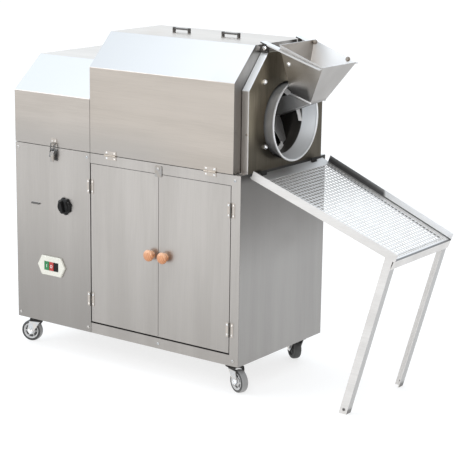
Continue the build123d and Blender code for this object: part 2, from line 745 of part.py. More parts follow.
def latch_lever():
    """Lever that turns on the base's pin and carries the bail's pin."""
    pin_y, pin_z = latch_pivot()
    eye_y, eye_z = bail_pivot()
    half = LEVER_WIDTH / 2
    barrel_radius = 2 * LATCH_PIN
    x0, x1 = LATCH_X - half, LATCH_X + half
    plate = block(x0, x1, eye_y - LEVER_SHEET / 2, eye_y + LEVER_SHEET / 2, pin_z - LEVER_LENGTH, pin_z)
    web = prism_x([(pin_y - barrel_radius, pin_z), (eye_y, pin_z), (eye_y, eye_z - LATCH_PIN),
                   (pin_y, pin_z - barrel_radius)], x0, x1)
    lever = plate + web + rod_x(x0, x1, pin_y, pin_z, barrel_radius)
    lever -= rod_x(x0 - 1, x1 + 1, pin_y, pin_z, LATCH_PIN + RUNNING_FIT)
    reach = half + 2 * BAIL_WIRE + 2 * MOVING_GAP
    return lever + rod_x(LATCH_X - reach, LATCH_X + reach, eye_y, eye_z, LATCH_PIN)


def latch_bail():
    """Wire loop from the lever's pin up over the keeper's tab."""
    eye_y, eye_z = bail_pivot()
    bar_z = keeper_tab_top() + MOVING_GAP + BAIL_WIRE
    bar_y = BAIL_WIRE - KEEPER_TAB_REACH
    offset_x = LEVER_WIDTH / 2 + MOVING_GAP + BAIL_WIRE
    bail = rod_x(LATCH_X - offset_x - BAIL_WIRE, LATCH_X + offset_x + BAIL_WIRE, bar_y, bar_z, BAIL_WIRE)
    side_wire = [(eye_y - BAIL_WIRE, eye_z), (eye_y + BAIL_WIRE, eye_z), (bar_y + BAIL_WIRE, bar_z),
                 (bar_y - BAIL_WIRE, bar_z)]
    for side in (-1, 1):
        x = LATCH_X + side * offset_x
        bail += prism_x(side_wire, x - BAIL_WIRE, x + BAIL_WIRE)
        bail += rod_x(x - BAIL_WIRE, x + BAIL_WIRE, eye_y, eye_z, 2 * LATCH_PIN)
    reach = offset_x + 2 * BAIL_WIRE
    return bail - rod_x(LATCH_X - reach, LATCH_X + reach, eye_y, eye_z, LATCH_PIN + RUNNING_FIT)


# Drum and what carries it


def end_bulkhead():
    """Fixed end box: a face flush with the cabinet's end, open towards the drum, with the mouth's hole."""
    outer = prism_x(end_outline(0), END_X, CABINET_LENGTH)
    inner = prism_x(end_outline(SHEET), END_X - 1, CABINET_LENGTH - SHEET)
    box = outer - inner
    y0, y1 = END_FRONT_INSET, CABINET_DEPTH - END_BACK_INSET
    box += block(END_X, CABINET_LENGTH, y0, y1, SEAM_Z, SEAM_Z + SHEET)
    box -= rod_x(END_X - 1, CABINET_LENGTH + 1, AXIS_Y, AXIS_Z, NECK_RADIUS + NECK_HOLE_GAP)
    for y, z in roller_places():
        box -= rod_x(END_X, CABINET_LENGTH + 1, y, z, ROLLER_AXLE_RADIUS)
    return box


def drive_bulkhead():
    """Upright plate behind the drum, with a foot on the deck and the shaft's hole."""
    y0, y1 = AXIS_Y - BULKHEAD_WIDTH / 2, AXIS_Y + BULKHEAD_WIDTH / 2
    x1 = BULKHEAD_X + BULKHEAD_SHEET
    plate = block(BULKHEAD_X, x1, y0, y1, SEAM_Z, SEAM_Z + BULKHEAD_HEIGHT)
    plate += block(BULKHEAD_X - BULKHEAD_FOOT, x1, y0, y1, SEAM_Z, SEAM_Z + BULKHEAD_SHEET)
    return plate - rod_x(BULKHEAD_X - 1, x1 + 1, AXIS_Y, AXIS_Z, SHAFT_RADIUS + SHAFT_HOLE_GAP)


def drum_bearing():
    """Flanged bearing on the bulkhead."""
    half = BEARING_SIZE / 2
    x = BULKHEAD_X
    housing = block(x - BEARING_FLANGE, x, AXIS_Y - half, AXIS_Y + half, AXIS_Z - half, AXIS_Z + half)
    housing = fillet(housing.edges().filter_by(Axis.X), half / 3)
    housing += rod_x(x - BEARING_BOSS, x, AXIS_Y, AXIS_Z, BEARING_BOSS_RADIUS)
    return housing - rod_x(x - BEARING_BOSS - 1, x + 1, AXIS_Y, AXIS_Z, SHAFT_RADIUS + RUNNING_FIT)


def roller_places():
    """Centres of the two support rollers as (y, z)."""
    reach = NECK_RADIUS + ROLLER_RADIUS + MOVING_GAP
    drop = reach * sin(radians(ROLLER_ANGLE))
    side = reach * cos(radians(ROLLER_ANGLE))
    return ((AXIS_Y - side, AXIS_Z - drop), (AXIS_Y + side, AXIS_Z - drop))


def roller_axles():
    """Stub axles of the support rollers, held in the end box by cap nuts."""
    face = CABINET_LENGTH
    axles = []
    for y, z in roller_places():
        inner = END_X + MOVING_GAP
        axle = rod_x(inner, face + 1, y, z, ROLLER_AXLE_RADIUS)
        collar = rod_x(inner + MOVING_GAP + ROLLER_WIDTH + 2 * MOVING_GAP, face - SHEET, y, z,
                       ROLLER_AXLE_RADIUS + ROLLER_COLLAR)
        nut = Pos(face, y, z) * Rot(0, 90, 0) * extrude(RegularPolygon(CAP_NUT_RADIUS, 6), CAP_NUT_HEIGHT / 2)
        cap = Pos(face + CAP_NUT_HEIGHT / 2, y, z) * Sphere(0.75 * CAP_NUT_RADIUS)
        cap &= rod_x(face, face + 2 * CAP_NUT_HEIGHT, y, z, CAP_NUT_RADIUS)
        axles.append(axle + collar + nut + cap)
    return group(axles)


def support_roller(place):
    y, z = place
    x0 = END_X + 2 * MOVING_GAP
    roller = rod_x(x0, x0 + ROLLER_WIDTH, y, z, ROLLER_RADIUS)
    roller = chamfer(roller.edges().filter_by(GeomType.CIRCLE), ROLLER_CHAMFER)
    return roller - rod_x(x0 - 1, x0 + ROLLER_WIDTH + 1, y, z, ROLLER_AXLE_RADIUS + RUNNING_FIT)


def front_support_roller():
    return support_roller(roller_places()[0])


def rear_support_roller():
    return support_roller(roller_places()[1])


def drum_shell():
    """Rolled drum wall with its rear disc and the annular front disc."""
    inner = DRUM_RADIUS - DRUM_WALL
    neck = NECK_RADIUS - NECK_WALL
    wall = rod_x(DRUM_X0, DRUM_X1, AXIS_Y, AXIS_Z, DRUM_RADIUS)
    wall -= rod_x(DRUM_X0, DRUM_X1, AXIS_Y, AXIS_Z, inner)
    rear = rod_x(DRUM_X0, DRUM_X0 + DRUM_DISC, AXIS_Y, AXIS_Z, inner)
    front_x = DRUM_X1 - DRUM_DISC
    front = rod_x(front_x, DRUM_X1, AXIS_Y, AXIS_Z, inner) - rod_x(front_x, DRUM_X1, AXIS_Y, AXIS_Z, neck)
    return group([wall, rear, front])


def drum_mouth():
    """Neck of the drum, flaring to a beaded rim."""
    flare_x = MOUTH_X - MOUTH_FLARE
    inner = NECK_RADIUS - NECK_WALL
    rim = MOUTH_RADIUS - NECK_WALL
    rim_x = MOUTH_X - MOUTH_BEAD
    outline = [(DRUM_X1, inner), (DRUM_X1, NECK_RADIUS), (flare_x, NECK_RADIUS), (rim_x, MOUTH_RADIUS),
               (rim_x, rim), (flare_x, inner)]
    bead = revolve(Pos(rim_x, MOUTH_RADIUS - NECK_WALL / 2) * Circle(MOUTH_BEAD), Axis.X)
    return turned(outline, AXIS_Y, AXIS_Z) + Pos(0, AXIS_Y, AXIS_Z) * bead


def helical_strip(x0, x1, inner, outer, start, turn, pieces):
    """A strip wound about the drum's axis and welded up from short twisted pieces."""
    def section(share):
        near = x0 + share * (x1 - x0)
        far = near + FLIGHT_SHEET
        outline = Polygon((near, inner), (far, inner), (far, outer), (near, outer), align=None)
        return Pos(0, AXIS_Y, AXIS_Z) * Rot(start + share * turn, 0, 0) * outline

    strip = []
    for piece in range(pieces):
        shares = (piece / pieces, (piece + 0.5) / pieces, (piece + 1) / pieces)
        strip.append(loft([section(share) for share in shares], ruled=True))
    return strip


def drum_flights():
    """Spiral flights inside the drum and short vanes in its neck."""
    outer = DRUM_RADIUS - DRUM_WALL
    x0, x1 = DRUM_X0 + DRUM_DISC, DRUM_X1 - DRUM_DISC - FLIGHT_SHEET
    neck = NECK_RADIUS - NECK_WALL
    neck_x = MOUTH_X - MOUTH_FLARE - FLIGHT_SHEET
    strips = []
    for index in range(FLIGHT_COUNT):
        start = index * 360 / FLIGHT_COUNT
        strips += helical_strip(x0, x1, outer - FLIGHT_HEIGHT, outer, start, FLIGHT_TURN, FLIGHT_PIECES)
        start += FLIGHT_TURN
        strips += helical_strip(DRUM_X1, neck_x, neck - VANE_HEIGHT, neck, start, VANE_TURN, VANE_PIECES)
    return group(strips)


def drum_shaft():
    """Rear shaft with the flange that is bolted to the drum."""
    flange_x = DRUM_X0 - SHAFT_FLANGE_THICKNESS
    shaft = rod_x(PULLEY_X0 - SHAFT_END, DRUM_X0, AXIS_Y, AXIS_Z, SHAFT_RADIUS)
    return shaft + rod_x(flange_x, DRUM_X0, AXIS_Y, AXIS_Z, SHAFT_FLANGE_RADIUS)


def grooved_pulley(radius, bore, y, z):
    """A flanged belt pulley with a web that is thinner than its rim."""
    floor = radius - BELT_DEPTH
    side = (PULLEY_WIDTH - BELT_WIDTH) / 2 - MOVING_GAP
    hub = bore + PULLEY_HUB
    x0, x1 = PULLEY_X0, PULLEY_X1
    web0, web1 = x0 + PULLEY_LIP, x1 - PULLEY_LIP
    rim = floor - PULLEY_LIP
    outline = [(x0, bore), (x0, hub), (web0, hub), (web0, rim), (x0, rim), (x0, radius), (x0 + side, radius),
               (x0 + side, floor), (x1 - side, floor), (x1 - side, radius), (x1, radius), (x1, rim),
               (web1, rim), (web1, hub), (x1, hub), (x1, bore)]
    return turned(outline, y, z)


def drum_pulley():
    return grooved_pulley(PULLEY_RADIUS, SHAFT_RADIUS + RUNNING_FIT, AXIS_Y, AXIS_Z)


def motor_pulley():
    """Small pulley on the gearbox's output shaft."""
    pulley = grooved_pulley(MOTOR_PULLEY_RADIUS, MOTOR_SHAFT_RADIUS - 1, AXIS_Y, MOTOR_Z)
    shaft_x = PULLEY_X0 - GEARBOX_GAP - MOTOR_SHAFT_DEPTH
    return pulley + rod_x(shaft_x, PULLEY_X1 + MOTOR_SHAFT_END, AXIS_Y, MOTOR_Z, MOTOR_SHAFT_RADIUS)


def belt_outline(grow):
    """Outline round both pulleys, grow outside the groove floors."""
    circles = []
    for radius, z in ((PULLEY_RADIUS, AXIS_Z), (MOTOR_PULLEY_RADIUS, MOTOR_Z)):
        circles.append(Pos(AXIS_Y, z) * Circle(radius - BELT_DEPTH + grow))
    return make_hull([edge for circle in circles for edge in circle.edges()])


def drive_belt():
    """Belt round both pulleys, just clear of their groove floors."""
    outer = belt_outline(BELT_DEPTH + MOVING_GAP) - belt_outline(MOVING_GAP)
    return extrude(Plane.YZ.offset(BELT_X0) * outer, BELT_WIDTH, dir=(1, 0, 0))


def gear_motor():
    """Gearbox on a plinth with the motor behind it."""
    x1 = PULLEY_X0 - GEARBOX_GAP
    x0 = x1 - GEARBOX_LENGTH
    floor = BASE_Z + SHEET
    half = GEARBOX_WIDTH / 2
    top = MOTOR_Z + GEARBOX_HEIGHT / 3
    gearbox = block(x0, x1, AXIS_Y - half, AXIS_Y + half, top - GEARBOX_HEIGHT, top)
    gearbox = fillet(gearbox.edges().filter_by(Axis.X), GEARBOX_ROUNDING)
    plinth_half = PLINTH_WIDTH / 2
    plinth = block(x0 - MOTOR_LENGTH / 2, x1, AXIS_Y - plinth_half, AXIS_Y + plinth_half,
                   floor, top - GEARBOX_HEIGHT)
    bore_x = x1 - MOTOR_SHAFT_DEPTH - MOVING_GAP
    gearbox -= rod_x(bore_x, x1 + 1, AXIS_Y, MOTOR_Z, MOTOR_SHAFT_RADIUS + RUNNING_FIT)
    motor_z = MOTOR_Z - GEARBOX_HEIGHT / 6
    motor = rod_x(x0 - MOTOR_LENGTH, x0, AXIS_Y, motor_z, MOTOR_RADIUS)
    motor = fillet(motor.edges().sort_by(Axis.X)[0], MOTOR_ROUNDING)
    return group([gearbox, plinth, motor])


# Heating


def trough_ring(inner, outer, x0, x1):
    """The part below the deck of a ring about the drum's axis."""
    ring = rod_x(x0, x1, AXIS_Y, AXIS_Z, outer) - rod_x(x0 - 1, x1 + 1, AXIS_Y, AXIS_Z, inner)
    return ring & block(x0, x1, 0, CABINET_DEPTH, 0, SEAM_Z)


def drum_trough():
    """Curved liner under the drum with a flange along each side."""
    x0, x1 = BULKHEAD_X + BULKHEAD_SHEET, END_X
    trough = trough_ring(TROUGH_RADIUS, TROUGH_RADIUS + SHEET, x0, x1)
    half = trough_half_width(TROUGH_RADIUS)
    reach = trough_half_width(TROUGH_RADIUS + SHEET + INSULATION) + TROUGH_FLANGE
    for side in (-1, 1):
        y0, y1 = sorted((AXIS_Y + side * half, AXIS_Y + side * reach))
        trough += block(x0, x1, y0, y1, SEAM_Z, SEAM_Z + SHEET)
    return trough


def trough_insulation():
    """Insulation wrapped under the trough."""
    x0, x1 = BULKHEAD_X + BULKHEAD_SHEET, END_X
    return trough_ring(TROUGH_RADIUS + SHEET, TROUGH_RADIUS + SHEET + INSULATION, x0, x1)


def heater_rods():
    """Tubular heaters along the trough, each on two short brackets."""
    reach = DRUM_RADIUS + HEATER_GAP + HEATER_RADIUS
    x0, x1 = BULKHEAD_X + BULKHEAD_SHEET, END_X
    rods = []
    for angle in HEATER_ANGLES:
        y = AXIS_Y + reach * cos(radians(angle))
        z = AXIS_Z + reach * sin(radians(angle))
        rod = rod_x(x0 + HEATER_END_GAP, x1 - HEATER_END_GAP, y, z, HEATER_RADIUS)
        foot = TROUGH_RADIUS - reach + 1
        for x in (x0 + HEATER_BRACKET_INSET, x1 - HEATER_BRACKET_INSET):
            half_x, half_y = HEATER_BRACKET_WIDTH / 2, HEATER_BRACKET_SHEET / 2
            bracket = block(x - half_x, x + half_x, -half_y, half_y, -foot, 0)
            rod += Pos(0, y, z) * Rot(90 + angle, 0, 0) * bracket
        rods.append(rod - trough_ring(TROUGH_RADIUS, TROUGH_RADIUS + SHEET, x0, x1))
    return group(rods)


# Controls


def thermostat_knob():
    """Black dial: a skirt, a round grip and a raised bar, on its spindle."""
    z = BASE_Z + THERMOSTAT_Z
    back = -MOVING_GAP
    skirt = rod_y(back - DIAL_SKIRT, back, THERMOSTAT_X, z, DIAL_RADIUS)
    reach = DIAL_RADIUS + DIAL_SCALLOP_OFFSET
    for index in range(DIAL_SCALLOPS):
        angle = radians((index + 0.5) * 360 / DIAL_SCALLOPS)
        x = THERMOSTAT_X + reach * cos(angle)
        skirt -= rod_y(back - DIAL_SKIRT - 1, back + 1, x, z + reach * sin(angle), DIAL_SCALLOP_RADIUS)
    grip = rod_y(back - 0.6 * DIAL_DEPTH, back, THERMOSTAT_X, z, DIAL_GRIP_RADIUS)
    bar = block(THERMOSTAT_X - DIAL_BAR / 2, THERMOSTAT_X + DIAL_BAR / 2, back - DIAL_DEPTH, back,
                z - DIAL_GRIP_RADIUS, z + DIAL_GRIP_RADIUS)
    bar = fillet(bar.edges().filter_by(Axis.Z), DIAL_BAR_ROUNDING)
    return skirt + grip + bar + rod_y(back, SPINDLE_LENGTH, THERMOSTAT_X, z, SPINDLE_RADIUS)


def key_spans():
    """X spans of the start key, the stop key and the fixed insert in the switch's window."""
    x0 = SWITCH_X - WINDOW_LENGTH / 2
    x1 = SWITCH_X + WINDOW_LENGTH / 2
    start = (x0 + MOVING_GAP, x0 + START_WIDTH)
    stop = (start[1] + MOVING_GAP, start[1] + STOP_WIDTH)
    return start, stop, (stop[1] + MOVING_GAP, x1 - MOVING_GAP)


def key(span):
    z = BASE_Z + SWITCH_Z
    half = WINDOW_HEIGHT / 2 - MOVING_GAP
    cap = block(span[0], span[1], -KEY_PROUD, KEY_DEPTH, z - half, z + half)
    return fillet(cap.faces().sort_by(Axis.Y)[0].edges(), KEY_ROUNDING)


def start_button():
    return key(key_spans()[0])


def stop_button():
    return key(key_spans()[1])


def switch_bezel():
    """White bezel with pointed ends round the switch's window."""
    z = BASE_Z + SWITCH_Z
    half, flat, tall = BEZEL_LENGTH / 2, BEZEL_FLAT / 2, BEZEL_HEIGHT / 2
    outline = [(-half, 0), (-flat, tall), (flat, tall), (half, 0), (flat, -tall), (-flat, -tall)]
    bezel = prism_y([(SWITCH_X + BEZEL_SHIFT + x, z + rise) for x, rise in outline], -BEZEL_THICKNESS, 0)
    bezel = chamfer(bezel.faces().sort_by(Axis.Y)[0].edges(), BEZEL_CHAMFER)
    return bezel - block(SWITCH_X - WINDOW_LENGTH / 2, SWITCH_X + WINDOW_LENGTH / 2, -BEZEL_THICKNESS - 1, 1,
                         z - WINDOW_HEIGHT / 2, z + WINDOW_HEIGHT / 2)


def control_housings():
    """Switch body with the keys' wells and its fixed insert, and the thermostat's body."""
    z = BASE_Z + SWITCH_Z
    half_x, half_z = WINDOW_LENGTH / 2 + SWITCH_WALL, WINDOW_HEIGHT / 2 + SWITCH_WALL
    body = block(SWITCH_X - half_x, SWITCH_X + half_x, SHEET, SHEET + SWITCH_DEPTH, z - half_z, z + half_z)
    well = WINDOW_HEIGHT / 2
    start, stop, insert = key_spans()
    body -= block(start[0] - MOVING_GAP, stop[1] + MOVING_GAP / 2, 0, KEY_DEPTH + KEY_TRAVEL + MOVING_GAP,
                  z - well, z + well)
    body += block(insert[0], insert[1], -INSERT_PROUD, SHEET + INSERT_LAP,
                  z - well + MOVING_GAP, z + well - MOVING_GAP)
    dial_z = BASE_Z + THERMOSTAT_Z
    half = THERMOSTAT_SIZE / 2
    thermostat = block(THERMOSTAT_X - half, THERMOSTAT_X + half, SHEET, SHEET + THERMOSTAT_DEPTH,
                       dial_z - half, dial_z + half)
    thermostat -= rod_y(0, SPINDLE_LENGTH + 1, THERMOSTAT_X, dial_z, SPINDLE_RADIUS + RUNNING_FIT)
    return group([body, thermostat])


def terminal_box():
    """Terminal box on the inside of the back panel."""
    y1 = CABINET_DEPTH - SHEET
    z0 = BASE_Z + TERMINAL_RISE
    box = block(TERMINAL_X, TERMINAL_X + TERMINAL_LENGTH, y1 - TERMINAL_DEPTH, y1, z0, z0 + TERMINAL_HEIGHT)
    return fillet(box.edges().filter_by(Axis.Y), TERMINAL_ROUNDING)


def cable_gland():
    """Gland through the back panel, with an inner and an outer nut round its bore."""
    z = BASE_Z + GLAND_RISE
    back = CABINET_DEPTH
    body = rod_y(back - SHEET - GLAND_NUT, back + GLAND_REACH, GLAND_X, z, GLAND_RADIUS)
    hexagon = Rot(90, 0, 0) * extrude(RegularPolygon(GLAND_NUT_RADIUS, 6), -GLAND_NUT)
    body += Pos(GLAND_X, back, z) * hexagon
    body += Pos(GLAND_X, back - SHEET - GLAND_NUT, z) * hexagon
    return body - rod_y(back - 3 * GLAND_NUT, back + 2 * GLAND_REACH, GLAND_X, z, GLAND_BORE)


# Hopper


def hopper_corners():
    """Rim and throat corners on the front half: machine side first, then outer side."""
    rim_y = AXIS_Y - HOPPER_TOP_WIDTH / 2
    throat_y = AXIS_Y - HOPPER_THROAT_WIDTH / 2
    rim_in = Vector(HOPPER_X - HOPPER_LEAN, rim_y, HOPPER_Z)
    rim_out = Vector(HOPPER_X + HOPPER_REACH, rim_y, HOPPER_Z - HOPPER_RIM_DROP)
    throat_in = Vector(HOPPER_X, throat_y, HOPPER_Z - HOPPER_DEPTH)
    normal = (rim_out - rim_in).cross(throat_in - rim_in)
    x = HOPPER_X + HOPPER_THROAT_REACH
    z = HOPPER_Z - HOPPER_RIM_DROP - HOPPER_OUTER_DEPTH
    y = rim_y - (normal.X * (x - rim_in.X) + normal.Z * (z - rim_in.Z)) / normal.Y
    return rim_in, rim_out, throat_in, Vector(x, y, z)


def hopper_envelope():
    """The closed solid that the hopper's walls wrap."""
    front = hopper_corners()
    back = [Vector(point.X, 2 * AXIS_Y - point.Y, point.Z) for point in front]
    rim_in, rim_out, throat_in, throat_out = front
    far_rim_in, far_rim_out, far_throat_in, far_throat_out = back
    quads = [(rim_in, rim_out, far_rim_out, far_rim_in),
             (throat_in, throat_out, far_throat_out, far_throat_in),
             (rim_in, rim_out, throat_out, throat_in),
             (far_rim_in, far_rim_out, far_throat_out, far_throat_in),
             (rim_in, throat_in, far_throat_in, far_rim_in),
             (rim_out, throat_out, far_throat_out, far_rim_out)]
    faces = [Face(Wire.make_polygon(list(quad))) for quad in quads]
    return Solid(Shell(faces))


def hopper():
    """Funnel with a sloping rim, and the open chute that leads from its throat into the drum's mouth."""
    envelope = hopper_envelope()
    ends = [envelope.faces().sort_by(Axis.Z)[-1], envelope.faces().sort_by(Axis.Z)[0]]
    funnel = offset(envelope, -SHEET, openings=ends)
    _, _, throat_in, throat_out = hopper_corners()
    inner_x = HOPPER_X - CHUTE_REACH
    inner_z = throat_out.Z - CHUTE_DROP
    y0, y1 = throat_in.Y, 2 * AXIS_Y - throat_in.Y
    side = [(throat_out.X, throat_out.Z), (inner_x, inner_z), (inner_x, inner_z + CHUTE_SIDE),
            (throat_in.X, throat_in.Z)]
    floor = [(throat_out.X, throat_out.Z), (inner_x, inner_z), (inner_x, inner_z + SHEET),
             (throat_out.X, throat_out.Z + SHEET)]
    chute = prism_y(side, y0, y0 + SHEET) + prism_y(side, y1 - SHEET, y1) + prism_y(floor, y0, y1)
    return funnel + chute


def hopper_bars():
    """Two bars from the end box's top along the hopper's sides, each on a bracket with a foot."""
    envelope = hopper_envelope()
    x0, foot_x = END_X + PANEL_GAP, CABINET_LENGTH - SHEET
    x1 = HOPPER_X + HOPPER_REACH - BAR_END_GAP
    z0 = SEAM_Z + BAR_RISE
    fall = BAR_DROP / (x1 - x0)
    box_top = SEAM_Z + END_HEIGHT
    strip = [(x0, z0), (x1, z0 - BAR_DROP), (x1, z0 - BAR_DROP + BAR_THICKNESS), (x0, z0 + BAR_THICKNESS)]
    middle = z0 + BAR_THICKNESS / 2
    upright = [(x0, box_top), (foot_x, box_top), (foot_x, middle - fall * (foot_x - x0)), (x0, middle)]
    bars = []
    for side in (-1, 1):
        rim = AXIS_Y + side * HOPPER_TOP_WIDTH / 2
        outer = rim + side * BAR_WIDTH
        bar = prism_y(strip, *sorted((rim - side * BAR_LAP, outer))) - envelope
        bar += prism_y(upright, *sorted((rim, rim + side * BAR_THICKNESS)))
        y0, y1 = sorted((rim, outer))
        bars.append(bar + block(x0, foot_x, y0, y1, box_top, box_top + BAR_THICKNESS))
    return group(bars)


# Discharge tray


def tray_place():
    """From the tray's own frame, X down the slope and Z off its sheet, to the machine."""
    return Pos(HOOK_X, TRAY_Y, HOOK_Z) * Rot(0, TRAY_SLOPE, 0)


def tray_half(x):
    """Half the tray's width at x down the slope: it narrows towards its outer end."""
    return (TRAY_WIDTH + (TRAY_END_WIDTH - TRAY_WIDTH) * x / TRAY_LENGTH) / 2


def tray_plate(points, z0, z1):
    """An (x, y) outline in the tray's own frame, carried from z0 to z1."""
    return extrude(Plane.XY.offset(z0) * Polygon(*points, align=None), z1 - z0, dir=(0, 0, 1))


def tray_strip(x0, x1, inset, z0, z1):
    """The tray from x0 to x1 over its whole width, less an inset at both edges."""
    near, far = tray_half(x0) - inset, tray_half(x1) - inset
    return tray_plate([(x0, -near), (x1, -far), (x1, far), (x0, near)], z0, z1)


def tray_rail(side, x0, width, z0, z1):
    """A band of one width along an edge, from x0 to the outer end."""
    near, far = side * tray_half(x0), side * tray_half(TRAY_LENGTH)
    inner_near, inner_far = near - side * width, far - side * width
    return tray_plate([(x0, near), (TRAY_LENGTH, far), (TRAY_LENGTH, inner_far), (x0, inner_near)], z0, z1)


def hook_slots():
    """Cutters for the two slots that drop over the cabinet's hooks."""
    half_x = HOOK_SLOT_LENGTH / 2
    half_y = HOOK_WIDTH / 2 + HOOK_SIDE_GAP
    slot = block(-half_x, half_x, -half_y, half_y, -TRAY_ANGLE, TRAY_ANGLE)
    return [Pos(0, side * HOOK_SPACING / 2, 0) * slot for side in (-1, 1)]


def tray_leg(side):
    """An angle leg under an outer corner of the tray, cut off under the tray and at the floor."""
    length = 2 * CABINET_HEIGHT
    spare = 2 * LEG_ANGLE
    leg = block(-LEG_ANGLE, 0, 0, LEG_THICKNESS, -length, spare)
    leg += block(-LEG_THICKNESS, 0, 0, LEG_ANGLE, -length, spare)
    if side > 0:
        leg = mirror(leg, Plane.XZ)
    top_x = TRAY_LENGTH - LEG_SETBACK
    corner = tray_place() * Pos(top_x, side * tray_half(top_x), -TRAY_ANGLE_THICKNESS)
    top = corner.position
    leg = Pos(top.X, top.Y, top.Z) * Rot(0, LEG_LEAN, 0) * leg
    reach = 2 * TRAY_LENGTH
    leg -= tray_place() * block(-reach, reach, -reach, reach, -TRAY_ANGLE_THICKNESS, reach)
    leg -= block(0, 2 * CABINET_LENGTH, -CABINET_DEPTH, 2 * CABINET_DEPTH, -length, 0)
    foot_x = top.X - (top.Z - LEG_HOLE_RISE) * tan(radians(LEG_LEAN)) - LEG_ANGLE / 2
    return leg - rod_y(top.Y - LEG_ANGLE, top.Y + LEG_ANGLE, foot_x, LEG_HOLE_RISE, LEG_HOLE_RADIUS)


def tray_frame():
    """Angle frame of the tray and its two legs."""
    size, thick = TRAY_ANGLE, TRAY_ANGLE_THICKNESS
    frame = tray_strip(-TRAY_EDGE, size, thick, -thick, 0)
    frame += tray_strip(TRAY_LENGTH - size, TRAY_LENGTH, 0, -thick, 0)
    frame += tray_strip(TRAY_LENGTH - thick, TRAY_LENGTH, 0, -size, 0)
    for side, start in ((-1, TRAY_FRONT_RAIL_START), (1, TRAY_BACK_RAIL_START)):
        frame += tray_rail(side, start, thick, -thick, size - thick)
        frame += tray_rail(side, start, size, -thick, 0)
    for slot in hook_slots():
        frame -= slot
    return group([tray_place() * frame, tray_leg(-1), tray_leg(1)])


def tray_mesh():
    """Perforated sheet that lies in the tray's frame, with a plain margin and two hook slots."""
    solid = tray_strip(-TRAY_EDGE, TRAY_LENGTH, TRAY_ANGLE_THICKNESS, 0, TRAY_SHEET)
    step_x = (TRAY_LENGTH - TRAY_MARGIN - TRAY_BRIDGE) / TRAY_ROWS
    gaps = []
    for row in range(TRAY_ROWS):
        x = TRAY_MARGIN + (row + 0.5) * step_x
        width = 2 * (tray_half(x + step_x / 2) - TRAY_ANGLE_THICKNESS) - TRAY_BRIDGE
        step_y = width / TRAY_COLUMNS
        gap = Box(step_x - TRAY_BRIDGE, step_y - TRAY_BRIDGE, 3 * TRAY_SHEET)
        gaps += [Pos(x, (column + 0.5) * step_y - width / 2, 0) * gap for column in range(TRAY_COLUMNS)]
    solid -= gaps
    for slot in hook_slots():
        solid -= slot
    return tray_place() * solid


# Casters


def caster_places():
    x0, x1 = CASTER_INSET_X, CABINET_LENGTH - CASTER_INSET_X
    y0, y1 = CASTER_INSET_Y, CABINET_DEPTH - CASTER_INSET_Y
    return {"front_left": (x0, y0), "front_right": (x1, y0), "rear_right": (x1, y1), "rear_left": (x0, y1)}


CROWN_Z = 2 * WHEEL_RADIUS + CROWN_GAP
RACE_Z = CROWN_Z + FORK_SHEET


def caster_plates():
    """Fixed plates with the swivel races and king pins."""
    half = CASTER_PLATE / 2
    plates = []
    for x, y in caster_places().values():
        plate = block(x - half, x + half, y - half, y + half, BASE_Z - CASTER_PLATE_THICKNESS, BASE_Z)
        plate = fillet(plate.edges().filter_by(Axis.Z), CASTER_PLATE_ROUNDING)
        plate += rod_z(RACE_Z + MOVING_GAP, BASE_Z - 1, x, y, RACE_RADIUS)
        plate += rod_z(CROWN_Z - KINGPIN_HEAD, RACE_Z + 1, x, y, KINGPIN_RADIUS)
        plate += rod_z(CROWN_Z - KINGPIN_HEAD, CROWN_Z - MOVING_GAP, x, y, KINGPIN_RADIUS + KINGPIN_HEAD)
        plates.append(plate)
    return group(plates)


def caster_fork():
    """Fork about its swivel axis, trailing towards +X, with its axle."""
    inner, outer = FORK_HALF_GAP, FORK_HALF_GAP + FORK_SHEET
    crown = rod_z(CROWN_Z, RACE_Z, 0, 0, CROWN_RADIUS)
    crown += block(-CHEEK_START, CASTER_TRAIL, -outer, outer, CROWN_Z, RACE_Z)
    eye = 3 * AXLE_RADIUS
    cheek = [(-CHEEK_START, RACE_Z), (CASTER_TRAIL, RACE_Z), (CASTER_TRAIL + eye, WHEEL_RADIUS),
             (CASTER_TRAIL, WHEEL_RADIUS - eye), (CASTER_TRAIL - eye, WHEEL_RADIUS)]
    for y0, y1 in ((inner, outer), (-outer, -inner)):
        crown += prism_y(cheek, y0, y1)
    crown += rod_y(-outer - AXLE_HEAD, outer + AXLE_HEAD, CASTER_TRAIL, WHEEL_RADIUS, AXLE_RADIUS)
    return crown - rod_z(0, BASE_Z, 0, 0, KINGPIN_RADIUS + RUNNING_FIT)


def caster_wheel():
    """Hub and tyre about the axle."""
    half = WHEEL_WIDTH / 2
    rim = WHEEL_RADIUS - TYRE_DEPTH
    hub = rod_y(-half, half, CASTER_TRAIL, WHEEL_RADIUS, rim)
    hub -= rod_y(-half - 1, half + 1, CASTER_TRAIL, WHEEL_RADIUS, AXLE_RADIUS + RUNNING_FIT)
    for y0, y1 in ((half - HUB_DISH, half + 1), (-half - 1, HUB_DISH - half)):
        dish = rod_y(y0, y1, CASTER_TRAIL, WHEEL_RADIUS, rim - HUB_LIP)
        hub -= dish - rod_y(y0, y1, CASTER_TRAIL, WHEEL_RADIUS, 3 * AXLE_RADIUS)
    tyre = rod_y(-half, half, CASTER_TRAIL, WHEEL_RADIUS, WHEEL_RADIUS)
    tyre = fillet(tyre.edges().filter_by(GeomType.CIRCLE), TYRE_ROUNDING)
    tyre -= rod_y(-half - 1, half + 1, CASTER_TRAIL, WHEEL_RADIUS, rim)
    return group([hub, tyre])


def caster_turn(corner):
    x, y = caster_places()[corner]
    return Pos(x, y, 0) * Rot(0, 0, CASTER_HEADINGS[corner])


# All pieces, then the frame's origin at the middle of the footprint on the floor

